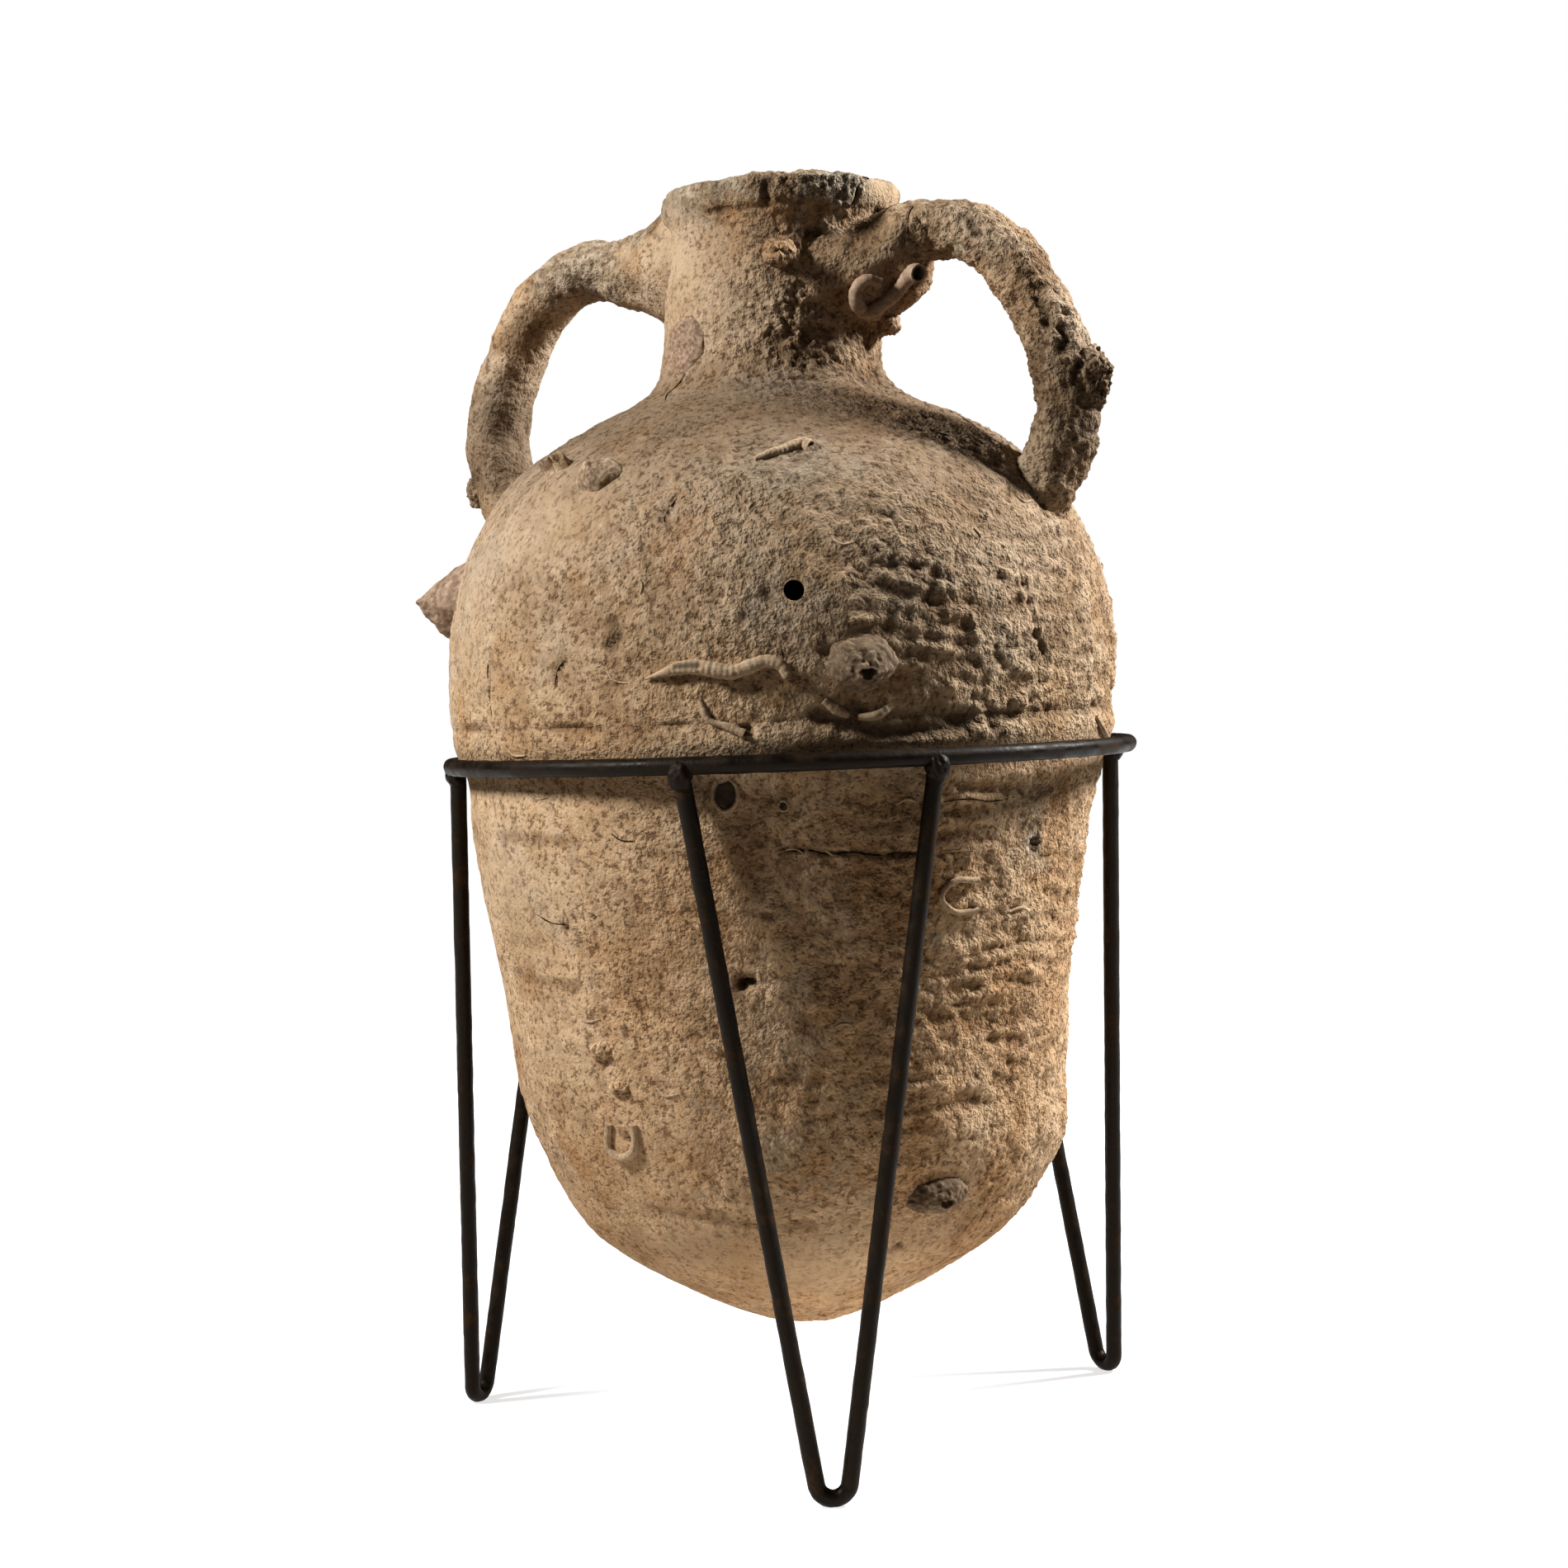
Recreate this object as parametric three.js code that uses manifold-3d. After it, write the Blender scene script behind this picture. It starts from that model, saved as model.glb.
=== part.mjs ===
// A two-handled transport amphora from the sea bed, hanging in a stand of welded iron rod.
// Millimetres, +Z up. -Y is the front. A bearing is in degrees, 0 at the front and growing towards +X.
import * as THREE from 'three';
import { mergeVertices } from 'three/addons/utils/BufferGeometryUtils.js';
import Module from 'manifold-3d';

const wasm = await Module();
wasm.setup();

// Shared by every piece
const clearance = 0.3; // gap between pieces that touch
const overrun = 4; // how far a cut runs past what it cuts

// Iron stand
const rodDiameter = 8;
const ringRadius = 160; // to the middle of the rod
const ringHeight = 322.6; // floor to the middle of the rod
const hairpinSpan = 108.8; // between the two rods of a hairpin, at the ring
const footBendRadius = 7.4; // to the middle of the rod
const footFlatDepth = 0.5; // wear flat under each foot
const weldRadius = 6.4;
const weldReach = 1.2; // how far a weld sits outside the middle of the rod
const frontFootReach = 140.5; // from the ring's axis to the middle of a foot
const leftFootReach = 185;
const rightFootReach = 178.3;
const hairpins = [
  { side: 'front', bearing: 3, footReach: frontFootReach },
  { side: 'left', bearing: -114.5, footReach: leftFootReach },
  { side: 'right', bearing: 122.5, footReach: rightFootReach },
];

// Jar, as heights above its tip and radii from its axis
const seatHeight = 271; // to the middle of the ring
const seatAngle = 20; // lean of the wall where it bears on the ring, in degrees
const sideShift = 2.4; // the jar hangs this far off the ring's middle, against its -X side
const waistRise = 17.5; // from the ring to the joint of the two thrown halves
const grooveDepth = 2;
const grooveHeight = 3;
const bellySwell = 1.6; // how far the belly stands out past the waist
const upperHeight = 154; // waist to the foot of the neck
const neckHeight = 97.5;
const neckRadius = 51.5;
const neckFootRadius = 58.6;
const wallThickness = 9;
const baseThickness = 24;
const throatRadius = 43; // inside, at the foot of the neck
const neckBoreRadius = 39.5;
const mouthRadius = 37;
const rimRadius = 56.6;
const rimHeight = 20;
const rimFlatInner = 40;
const rimFlatOuter = 46;
const neckLeanShare = 0.06; // the neck leans to +X by this share of its height
const bendReach = 3.4; // how far the jar is bent off its axis, at most
const seatMargin = 22; // this near to the middle of the ring, the wall is neither bent nor swelled in full
const drilledHoleDiameter = 9;
const drilledHoleBearing = 2.3;
const drilledHoleRise = 55.3; // above the waist

// Handles
const handleThickness = 27.5;
const handleWidth = 33;
const handleFootRise = 89.9; // above the waist
const leftHandleReach = 153; // from the jar's axis
const leftHandleRise = 65.4; // its middle line's top, above the foot of the neck
const leftJointRise = 61.4; // its joint's middle, above the foot of the neck
const leftJointHeight = 45;
const rightHandleReach = 150;
const rightHandleRise = 68.4;
const rightJointRise = 50.9;
const rightJointHeight = 59;
const handles = {
  left: {
    bearing: -115, reach: leftHandleReach, rise: leftHandleRise,
    jointRise: leftJointRise, jointHeight: leftJointHeight,
  },
  right: {
    bearing: 65, reach: rightHandleReach, rise: rightHandleRise,
    jointRise: rightJointRise, jointHeight: rightJointHeight,
  },
};
const handleJointReach = 40; // from the jar's axis to the start of a handle, inside the neck
const handleWebReach = 62; // to the middle of the web under a handle's joint

// How finely round things are cut
const jarFacets = 36;
const lowerSteps = 18;
const upperSteps = 11;
const drillSides = 10;
const ringFacets = 48;
const rodSides = 10;
const bendSteps = 8;
const handleSides = 12;
const handleSteps = 20;
const tubeSides = 7;
const shellFacets = 12;
const lumpFacets = 10;
const lumpRings = 6;
const weldRings = 7;
const stepsPerPoint = 2;

// Outlines: [share of the radius, share of the height], from the bottom up
const lowerOutlineShares = [
  [0, 0], [0.13, 0.014], [0.4, 0.083], [0.65, 0.178], [0.737, 0.242],
  [0.833, 0.36], [0.868, 0.47], [0.892, 0.62], [0.95, 0.82], [1, 1],
];
const upperOutlineShares = [
  [1, 0.14], [0.996, 0.235], [0.974, 0.35], [0.931, 0.453], [0.862, 0.556],
  [0.714, 0.71], [0.538, 0.807], [0.267, 0.91], [0.097, 0.96],
];
const neckFootShares = [[1, 0], [0.35, 0.07], [0.04, 0.22], [0, 0.3]];
const lipShares = [[0, 0], [0.75, 0.14], [1, 0.4], [0.93, 0.68], [0.45, 0.9]];
const boreShares = [0.95, 0.6, 0.25];
const handlePathShares = [
  [0.5, 0.985], [0.61, 1], [0.72, 0.965], [0.825, 0.865], [0.92, 0.68],
  [0.97, 0.53], [0.99, 0.37], [0.96, 0.2], [0.88, 0.05], [0.8, -0.05],
];
const webRiseShare = 0.33; // of the way from the joint up to the top of the handle
const jointSwellShares = [1, 0.55, 0.02]; // of what a handle's joint on the neck adds to it
const handleSwellShares = [1, 1, 1, 1, 1, 1.04, 1.08, 1.06, 1.1, 1.16, 1.2];

// The jar's bend towards +X: [share of the way up, share of bendReach]
const bendShares = {
  toSeat: [
    [0, 0.3], [0.33, 0.4], [0.43, -0.5], [0.55, -0.76], [0.73, -1], [0.88, -0.88], [0.93, -0.5], [1, -0.2],
  ],
  toRim: [
    [0, -0.3], [0.08, -0.28], [0.17, 0.15], [0.4, 0.15], [0.64, 0], [0.83, 0], [0.94, 0.44], [1, 0.7],
  ],
};

// Thick patches of crust on the wall, at a share of its section, and how far they swell it
const crustPatches = [
  { bearing: 24, section: 'upper', share: 0.6, size: 90, rise: 2 },
  { bearing: 62, section: 'upper', share: 0.84, size: 80, rise: 2 },
  { bearing: 58, section: 'upper', share: 0.3, size: 95, rise: 2.2 },
  { bearing: 8, section: 'upper', share: 0.24, size: 70, rise: 1.6 },
  { bearing: -30, section: 'upper', share: 0.52, size: 75, rise: 1.2 },
  { bearing: 128, section: 'upper', share: 0.55, size: 95, rise: 2 },
  { bearing: 178, section: 'upper', share: 0.42, size: 90, rise: 1.8 },
  { bearing: -148, section: 'upper', share: 0.66, size: 85, rise: 1.6 },
  { bearing: 84, section: 'lower', share: 0.3, size: 80, rise: 2.6 },
  { bearing: 56, section: 'lower', share: 0.58, size: 100, rise: 2.4 },
  { bearing: 4, section: 'lower', share: 0.54, size: 80, rise: 1.8 },
  { bearing: 28, section: 'lower', share: 0.42, size: 70, rise: 1.6 },
  { bearing: -58, section: 'lower', share: 0.5, size: 80, rise: 1.4 },
  { bearing: 122, section: 'lower', share: 0.6, size: 100, rise: 2.2 },
  { bearing: 165, section: 'lower', share: 0.36, size: 90, rise: 1.8 },
  { bearing: -150, section: 'lower', share: 0.64, size: 95, rise: 2 },
  { bearing: -105, section: 'lower', share: 0.4, size: 80, rise: 1.4 },
];

// Sea growth on the wall. Up the wall a piece is at a share of its section, or at a height from the ring.
const frontWormSpan = 65;
const frontChipSpan = 31;
const tubeMouthWidth = 12;
const tubeMouthHeight = 15;
const wallGrowth = [
  {
    name: 'limpet_shell', kind: 'limpet', bearing: -84, section: 'upper', share: 0.405,
    width: 40, rise: 18, drift: -5,
  },
  {
    name: 'oyster_scar', kind: 'mound', bearing: -54, section: 'neck', share: 0.2,
    width: 30, tall: 27, rise: 2.5,
  },
  {
    name: 'sponge_knob', kind: 'mound', bearing: -37, section: 'upper', share: 0.714,
    width: 22, tall: 20, rise: 8,
  },
  {
    name: 'broken_cell_shell', kind: 'cup', bearing: -54, section: 'upper', share: 0.759,
    width: 11, rise: 5, spread: 8,
  },
  {
    name: 'neck_knob', kind: 'mound', bearing: 3, section: 'neck', share: 0.6,
    width: 14, tall: 14, rise: 7,
  },
  {
    name: 'barnacle_front', kind: 'barnacle', bearing: 13, section: 'upper', share: 0.15,
    width: 30, tall: 23, rise: 12,
  },
  {
    name: 'barnacle_low', kind: 'barnacle', bearing: 31, section: 'lower', share: 0.261,
    width: 31, tall: 20, rise: 8,
  },
  {
    name: 'low_bump_upper', kind: 'mound', bearing: -39, section: 'lower', share: 0.502,
    width: 13, tall: 11, rise: 4,
  },
  {
    name: 'low_bump_lower', kind: 'mound', bearing: -35.6, section: 'lower', share: 0.446,
    width: 11, tall: 8, rise: 3.5,
  },
  {
    name: 'tube_mouth', kind: 'cup', bearing: -9.7, fromRing: -12.5,
    width: tubeMouthWidth, tall: tubeMouthHeight, rise: 3.5,
  },
  { name: 'small_ring_shell', kind: 'cup', bearing: -0.1, fromRing: -18, width: 5.5, rise: 1.6 },
];
const tubeGrowth = [
  {
    name: 'worm_tube_front', bearing: -10, section: 'upper', share: 0.161, diameter: 6.4,
    span: frontWormSpan,
    pathShares: [
      [-0.5, -0.06], [-0.28, 0.06], [-0.11, 0], [0.07, -0.01],
      [0.21, 0.04], [0.35, 0.09], [0.46, 0.02], [0.5, -0.03],
    ],
  },
  {
    name: 'shell_chip_front', bearing: 10.5, section: 'upper', share: 0.038, diameter: 3,
    span: frontChipSpan,
    pathShares: [[-0.5, 0.14], [-0.25, -0.02], [0, -0.08], [0.25, -0.02], [0.5, 0.13]],
  },
  {
    name: 'worm_tube_shoulder', bearing: 2, section: 'upper', share: 0.759, span: 28, diameter: 4.4,
    pathShares: [[-0.52, -0.15], [-0.21, -0.04], [0.1, 0.06], [0.35, 0.3], [0.55, 0.02], [0.4, -0.25]],
  },
  {
    name: 'worm_tube_waist', bearing: -9, fromRing: 18.5, span: 23, diameter: 4.2,
    pathShares: [[-0.5, 0.42], [-0.22, 0.05], [0.08, -0.22], [0.42, -0.26]],
  },
  {
    name: 'worm_tube_side', bearing: 70, fromRing: 14, span: 9, diameter: 2.6,
    pathShares: [[-0.5, 0.3], [0, 0.05], [0.5, -0.3]],
  },
  {
    name: 'worm_tube_curled', bearing: 32.5, section: 'lower', share: 0.725, span: 18, diameter: 2.6,
    pathShares: [[0.5, 0.42], [-0.2, 0.34], [-0.48, -0.1], [-0.05, -0.42], [0.5, -0.36]],
  },
  {
    name: 'worm_tube_low', bearing: -35, section: 'lower', share: 0.366, span: 13, diameter: 3.4,
    pathShares: [[-0.5, 0.62], [-0.45, -0.3], [0, -0.6], [0.46, -0.3], [0.5, 0.6]],
  },
];
// Growth on a handle: a share of the way from neck to foot, and a turn from its outer side to its flank
const handleGrowth = [
  {
    name: 'handle_lump_right', kind: 'mound', on: 'right', share: 0.68, turn: 0,
    width: 24, tall: 32, rise: 7,
  },
  {
    name: 'handle_lump_left', kind: 'mound', on: 'left', share: 0.8, turn: -15,
    width: 20, tall: 18, rise: 5,
  },
  {
    name: 'handle_knob', kind: 'mound', on: 'right', share: 0.055, turn: 188,
    width: 17, tall: 15, rise: 7,
  },
];
const handleWorm = {
  name: 'worm_tube_handle', on: 'right', diameter: 6,
  places: [ // share of the way along, and turn
    [0.15, 156], [0.12, 152], [0.09, 156], [0.06, 152],
    [0.045, 128], [0.065, 108], [0.095, 110],
  ],
};
const shellShares = {
  limpet: [[0.62, 0.3], [0.3, 0.68], [0.12, 0.93], [0, 1]],
  barnacle: [[0.93, 0.25], [0.7, 0.7], [0.45, 1], [0.3, 1], [0.2, 0.6], [0, 0.55]],
  cup: [[0.95, 1], [0.68, 1], [0.55, 0.3], [0, 0.25]],
};
const tubeLiftShare = 0.2; // of its diameter, from the wall to the middle of a tube
const tubeTaperShares = [0.8, 1, 1, 1, 0.85];

// Sizes that follow from the ones above
const rodRadius = rodDiameter / 2;
const ringBore = ringRadius - (rodRadius + clearance) / Math.cos(radians(seatAngle));
const seatAcross = ringBore - sideShift;
const seatRadius = Math.sqrt(seatAcross * ringBore); // so that the wall follows the ring round its -X side
const seatSlope = Math.tan(radians(seatAngle));
const belowSeat = point(seatRadius - rodDiameter * seatSlope, seatHeight - rodDiameter);
const aboveSeat = point(seatRadius + rodDiameter * seatSlope, seatHeight + rodDiameter);
const acrossShare = seatAcross / seatRadius;
const bellyRadius = aboveSeat.x + bellySwell;
const waistHeight = seatHeight + waistRise;
const handleFootHeight = waistHeight + handleFootRise;
const neckFootHeight = waistHeight + upperHeight;
const jarHeight = neckFootHeight + neckHeight;

const clay = { color: 0xb59a72, roughness: 0.95, metalness: 0 };
const shellGrowth = { color: 0xc9b897, roughness: 0.8, metalness: 0 };
const crust = { color: 0x8f7659, roughness: 0.97, metalness: 0 };
const iron = { color: 0x231c17, roughness: 0.55, metalness: 0.75 };

function radians(degrees) {
  return THREE.MathUtils.degToRad(degrees);
}

function point(x, y) {
  return new THREE.Vector2(x, y);
}

/** Level unit vector towards a bearing. */
function towards(bearing) {
  return new THREE.Vector3(Math.sin(radians(bearing)), -Math.cos(radians(bearing)), 0);
}

/** Value at a share of the way along an evenly spaced list. */
function ramp(list, share) {
  const place = share * (list.length - 1);
  const index = Math.min(Math.floor(place), list.length - 2);
  return THREE.MathUtils.lerp(list[index], list[index + 1], place - index);
}

// Solids

/** Closed geometry as a solid that can be joined and cut. */
function solidOf(geometry) {
  const bare = geometry.clone();
  bare.deleteAttribute('normal');
  bare.deleteAttribute('uv');
  const merged = mergeVertices(bare);
  const corners = merged.index.array;
  const vertProperties = new Float32Array(merged.attributes.position.array);
  const kept = [];
  let sixVolumes = 0;
  for (let i = 0; i < corners.length; i += 3) {
    const [a, b, c] = corners.subarray(i, i + 3);
    if (a === b || b === c || c === a) continue;
    kept.push(a, b, c);
    const [p, q, r] = [a, b, c].map((v) => new THREE.Vector3().fromArray(vertProperties, v * 3));
    sixVolumes += p.dot(q.cross(r));
  }
  const triVerts = new Uint32Array(sixVolumes < 0 ? kept.reverse() : kept);
  return new wasm.Manifold(new wasm.Mesh({ numProp: 3, vertProperties, triVerts }));
}

/** A solid as a geometry that a mesh can hold. */
function geometryOf(solid) {
  const { vertProperties, triVerts } = solid.getMesh();
  const geometry = new THREE.BufferGeometry();
  geometry.setAttribute('position', new THREE.BufferAttribute(new Float32Array(vertProperties), 3));
  geometry.setIndex(new THREE.BufferAttribute(new Uint32Array(triVerts), 1));
  geometry.computeVertexNormals();
  return geometry;
}

/** Profile of (radius, height) points turned about the Z axis. */
function turned(profile, facets = jarFacets) {
  return new THREE.LatheGeometry(profile, facets).rotateX(Math.PI / 2);
}

/** Smooth line through points, evenly cut. */
function smooth(points, steps) {
  return new THREE.SplineCurve(points).getPoints(steps);
}

/** The same outline moved inwards by a distance, or outwards where it is negative. */
function inset(outline, distance) {
  return outline.map((here, i) => {
    const before = outline[Math.max(i - 1, 0)];
    const after = outline[Math.min(i + 1, outline.length - 1)];
    const run = after.clone().sub(before).normalize();
    return point(here.x - run.y * distance, here.y + run.x * distance);
  });
}

function ellipse(halfThickness, halfWidth, sides) {
  const corners = Array.from({ length: sides }, (_, i) => {
    const turn = (2 * Math.PI * i) / sides;
    return point(halfThickness * Math.cos(turn), halfWidth * Math.sin(turn));
  });
  return new THREE.Shape(corners);
}

/** Section carried along a path and scaled about it by an evenly spaced list of shares. */
function swept(path, section, steps, swellShares = [1, 1]) {
  const geometry = new THREE.ExtrudeGeometry(section, { steps, extrudePath: path });
  const stations = path.getSpacedPoints(steps);
  const corner = new THREE.Vector3();
  const { position } = geometry.attributes;
  for (let i = 0; i < position.count; i += 1) {
    corner.fromBufferAttribute(position, i);
    const gaps = stations.map((station) => station.distanceTo(corner));
    const nearest = gaps.indexOf(Math.min(...gaps));
    const share = ramp(swellShares, nearest / steps);
    corner.sub(stations[nearest]).multiplyScalar(share).add(stations[nearest]);
    position.setXYZ(i, corner.x, corner.y, corner.z);
  }
  return geometry;
}

// Iron stand

/** Middle line of a hairpin: straight down, round the foot, straight up. */
class HairpinPath extends THREE.Curve {
  constructor({ bearing, footReach }) {
    super();
    const chordReach = Math.sqrt(ringRadius ** 2 - (hairpinSpan / 2) ** 2);
    const top = towards(bearing).multiplyScalar(chordReach).setZ(ringHeight - rodRadius);
    const foot = towards(bearing).multiplyScalar(footReach).setZ(rodRadius - footFlatDepth);
    this.foot = foot;
    this.along = towards(bearing + 90);
    this.up = top.clone().sub(foot).normalize();
    this.rise = top.distanceTo(foot);
    const toTop = point(hairpinSpan / 2, this.rise - footBendRadius);
    this.bendEnd = toTop.angle() - Math.acos(footBendRadius / toTop.length());
  }

  place(across, climb) {
    return this.foot.clone().addScaledVector(this.along, across).addScaledVector(this.up, climb);
  }

  onBend(angle) {
    return this.place(footBendRadius * Math.cos(angle), footBendRadius * (1 + Math.sin(angle)));
  }

  getPoint(share) {
    const stage = share * (bendSteps + 2);
    const first = -Math.PI - this.bendEnd;
    if (stage < 1) return this.place(-hairpinSpan / 2, this.rise).lerp(this.onBend(first), stage);
    if (stage > bendSteps + 1) {
      const left = stage - bendSteps - 1;
      return this.onBend(this.bendEnd).lerp(this.place(hairpinSpan / 2, this.rise), left);
    }
    return this.onBend(THREE.MathUtils.lerp(first, this.bendEnd, (stage - 1) / bendSteps));
  }

  // The steps are shared out by getPoint, and not by length.
  getUtoTmapping(share) {
    return share;
  }
}

function ringSolid(growth = 0) {
  const torus = new THREE.TorusGeometry(ringRadius, rodRadius + growth, rodSides, ringFacets);
  return solidOf(torus.translate(0, 0, ringHeight));
}

function rodSolid(hairpin, growth = 0) {
  const radius = rodRadius + growth;
  const section = ellipse(radius, radius, rodSides);
  return solidOf(swept(new HairpinPath(hairpin), section, bendSteps + 2));
}

/** Hairpin coped to the underside of the ring, with a flat under its foot. */
function legSolid(hairpin) {
  const size = 2 * (footBendRadius + rodDiameter);
  const depth = footFlatDepth + overrun;
  const { x, y } = new HairpinPath(hairpin).foot;
  const floor = new THREE.BoxGeometry(size, size, depth).translate(x, y, -depth / 2);
  return rodSolid(hairpin).subtract(ringSolid(clearance)).subtract(solidOf(floor));
}

/** Weld bead round the top of one rod, clear of the ring, the rod and the jar. */
function weldSolid(hairpin, end, jar) {
  const turn = Math.asin(hairpinSpan / 2 / ringRadius) * end;
  const out = towards(hairpin.bearing + THREE.MathUtils.radToDeg(turn));
  const middle = out.multiplyScalar(ringRadius + weldReach).setZ(ringHeight - rodRadius);
  const bead = new THREE.SphereGeometry(weldRadius, rodSides, weldRings)
    .translate(middle.x, middle.y, middle.z);
  return solidOf(bead).subtract(ringSolid(clearance)).subtract(rodSolid(hairpin, clearance)).subtract(jar);
}

// Jar walls

const lowerOutline = [
  ...smooth(lowerOutlineShares.map(([r, h]) => point(r * belowSeat.x, h * belowSeat.y)), lowerSteps),
  aboveSeat,
  point(aboveSeat.x, waistHeight - grooveHeight),
  point(aboveSeat.x - grooveDepth, waistHeight - clearance),
];
const upperOutline = [
  point(aboveSeat.x - grooveDepth, waistHeight),
  point(aboveSeat.x, waistHeight + grooveHeight),
  ...smooth(upperOutlineShares.map(([r, h]) => (
    point(THREE.MathUtils.lerp(neckFootRadius, bellyRadius, r), waistHeight + h * upperHeight)
  )), upperSteps),
  point(neckFootRadius, neckFootHeight - clearance),
];
const neckOutline = [
  ...neckFootShares.map(([r, h]) => (
    point(THREE.MathUtils.lerp(neckRadius, neckFootRadius, r), neckFootHeight + h * neckHeight)
  )),
  ...lipShares.map(([r, h]) => (
    point(THREE.MathUtils.lerp(neckRadius, rimRadius, r), jarHeight - rimHeight + h * rimHeight)
  )),
  point(rimFlatOuter, jarHeight),
];
const jarOutline = [...lowerOutline, ...upperOutline, ...neckOutline];

/** Leans the neck a little towards +X. */
function leanNeck(geometry) {
  const lean = new THREE.Matrix4().makeShear(0, 0, 0, 0, neckLeanShare, 0);
  return geometry.translate(0, 0, -neckFootHeight).applyMatrix4(lean).translate(0, 0, neckFootHeight);
}

function lowerBody() {
  const top = lowerOutline.at(-1);
  const inner = inset(lowerOutline, wallThickness)
    .filter(({ x, y }) => x > wallThickness && y > baseThickness && y < top.y - wallThickness);
  return bent(crusted(turned([
    ...lowerOutline,
    point(top.x - wallThickness, top.y),
    ...inner.reverse(),
    point(0, baseThickness),
  ])));
}

function upperBody() {
  const bottom = upperOutline[0];
  const top = upperOutline.at(-1);
  const inner = inset(upperOutline, wallThickness)
    .filter(({ x, y }) => x > throatRadius && y > bottom.y + wallThickness && y < top.y);
  const wall = bent(crusted(turned([
    ...upperOutline,
    point(throatRadius, top.y),
    ...inner.reverse(),
    point(bottom.x - wallThickness, bottom.y),
    bottom,
  ])));
  const { position, outward } = wallAt(drilledHoleBearing, waistHeight + drilledHoleRise);
  const radius = drilledHoleDiameter / 2;
  const drill = new THREE.CylinderGeometry(radius, radius, 2 * (wallThickness + overrun), drillSides)
    .applyQuaternion(new THREE.Quaternion().setFromUnitVectors(THREE.Object3D.DEFAULT_UP, outward))
    .translate(position.x, position.y, position.z);
  return geometryOf(solidOf(wall).subtract(solidOf(drill)));
}

function neck() {
  const bore = boreShares.map((share) => point(neckBoreRadius, neckFootHeight + share * neckHeight));
  const profile = [
    ...neckOutline,
    point(rimFlatInner, jarHeight),
    point(mouthRadius, bore[0].y),
    ...bore.slice(1),
    point(throatRadius, neckFootHeight),
    neckOutline[0],
  ];
  return bent(leanNeck(turned(profile)));
}

/** The whole jar as if it were filled, grown by the clearance, for cutting what seats on it. */
function jarCore() {
  const filled = (outline) => {
    const grown = inset(outline, -clearance);
    const [low, high] = [grown[0].y, grown.at(-1).y];
    return turned([point(0, low - clearance), ...grown, point(0, high + clearance)]);
  };
  const body = filled([...lowerOutline.slice(1), ...upperOutline]);
  return solidOf(bent(crusted(body))).add(solidOf(bent(leanNeck(filled(neckOutline)))));
}

/** Value at a place of a table of [place, value] pairs. */
function valueAt(table, place) {
  const found = table.findIndex(([x]) => x > place);
  const index = found < 0 ? table.length - 1 : Math.max(found, 1);
  const [[x0, y0], [x1, y1]] = [table[index - 1], table[index]];
  return THREE.MathUtils.mapLinear(place, x0, x1, y0, y1);
}

/** How freely the wall may leave its round shape at a height: not at all where it bears on the ring. */
function freedomAt(height) {
  return THREE.MathUtils.smoothstep(Math.abs(height - seatHeight), rodDiameter, seatMargin);
}

/** How far the jar's axis is bent towards +X at a height. */
function bendAt(height) {
  const share = height < seatHeight
    ? valueAt(bendShares.toSeat, height / seatHeight)
    : valueAt(bendShares.toRim, (height - seatHeight) / (jarHeight - seatHeight));
  return share * bendReach * freedomAt(height);
}

/** Bends a wall with the jar's axis. */
function bent(geometry) {
  const { position } = geometry.attributes;
  for (let i = 0; i < position.count; i += 1) {
    position.setX(i, position.getX(i) + bendAt(position.getZ(i)));
  }
  return geometry;
}

/** How far the crust swells the wall at a place: most in the middle of a patch. */
function crustLift(position) {
  const swells = crustPatches.map((patch) => {
    const away = bareWallAt(patch.bearing, heightOf(patch)).position.distanceTo(position);
    return patch.rise * (1 - THREE.MathUtils.smoothstep(away, 0, patch.size / 2));
  });
  return Math.max(...swells) * freedomAt(position.z);
}

/** Swells the outer skin of a turned wall with its patches of crust. */
function crusted(geometry) {
  const corner = new THREE.Vector3();
  const { position } = geometry.attributes;
  for (let i = 0; i < position.count; i += 1) {
    corner.fromBufferAttribute(position, i);
    const bearing = THREE.MathUtils.radToDeg(Math.atan2(corner.x, -corner.y));
    const { outward, radius } = bareWallAt(bearing, corner.z);
    if (Math.hypot(corner.x, corner.y) > radius - wallThickness / 2) {
      corner.addScaledVector(outward, crustLift(corner));
      position.setXYZ(i, corner.x, corner.y, corner.z);
    }
  }
  return geometry;
}

/** Place on the jar's wall, with its outward and upward directions. */
function wallAt(bearing, height, lift = 0) {
  const place = bareWallAt(bearing, height);
  place.position.addScaledVector(place.outward, lift + crustLift(place.position));
  place.position.x += bendAt(height);
  return place;
}

/** The same on the plain turned wall, before its crust and its bend. */
function bareWallAt(bearing, height) {
  const index = Math.max(jarOutline.findIndex(({ y }) => y > height), 1);
  const [low, high] = [jarOutline[index - 1], jarOutline[index]];
  const radius = THREE.MathUtils.mapLinear(height, low.y, high.y, low.x, high.x);
  const upward = towards(bearing).multiplyScalar(high.x - low.x).setZ(high.y - low.y).normalize();
  const across = towards(bearing + 90);
  const outward = across.clone().cross(upward).normalize();
  const position = towards(bearing).multiplyScalar(radius).setZ(height);
  position.x += Math.max(height - neckFootHeight, 0) * neckLeanShare;
  return { position, outward, upward, across, radius };
}

// Handles

function handlePath({ bearing, reach, rise, jointRise }) {
  const top = neckFootHeight + rise;
  const joint = point(handleJointReach, neckFootHeight + jointRise);
  const web = point(handleWebReach, THREE.MathUtils.lerp(joint.y, top, webRiseShare));
  const arch = handlePathShares.map(([out, up]) => (
    point(out * reach, THREE.MathUtils.lerp(handleFootHeight, top, up))
  ));
  return new THREE.CatmullRomCurve3([joint, web, ...arch].map(({ x, y }) => (
    towards(bearing).multiplyScalar(x).setZ(y)
  )));
}

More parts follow.
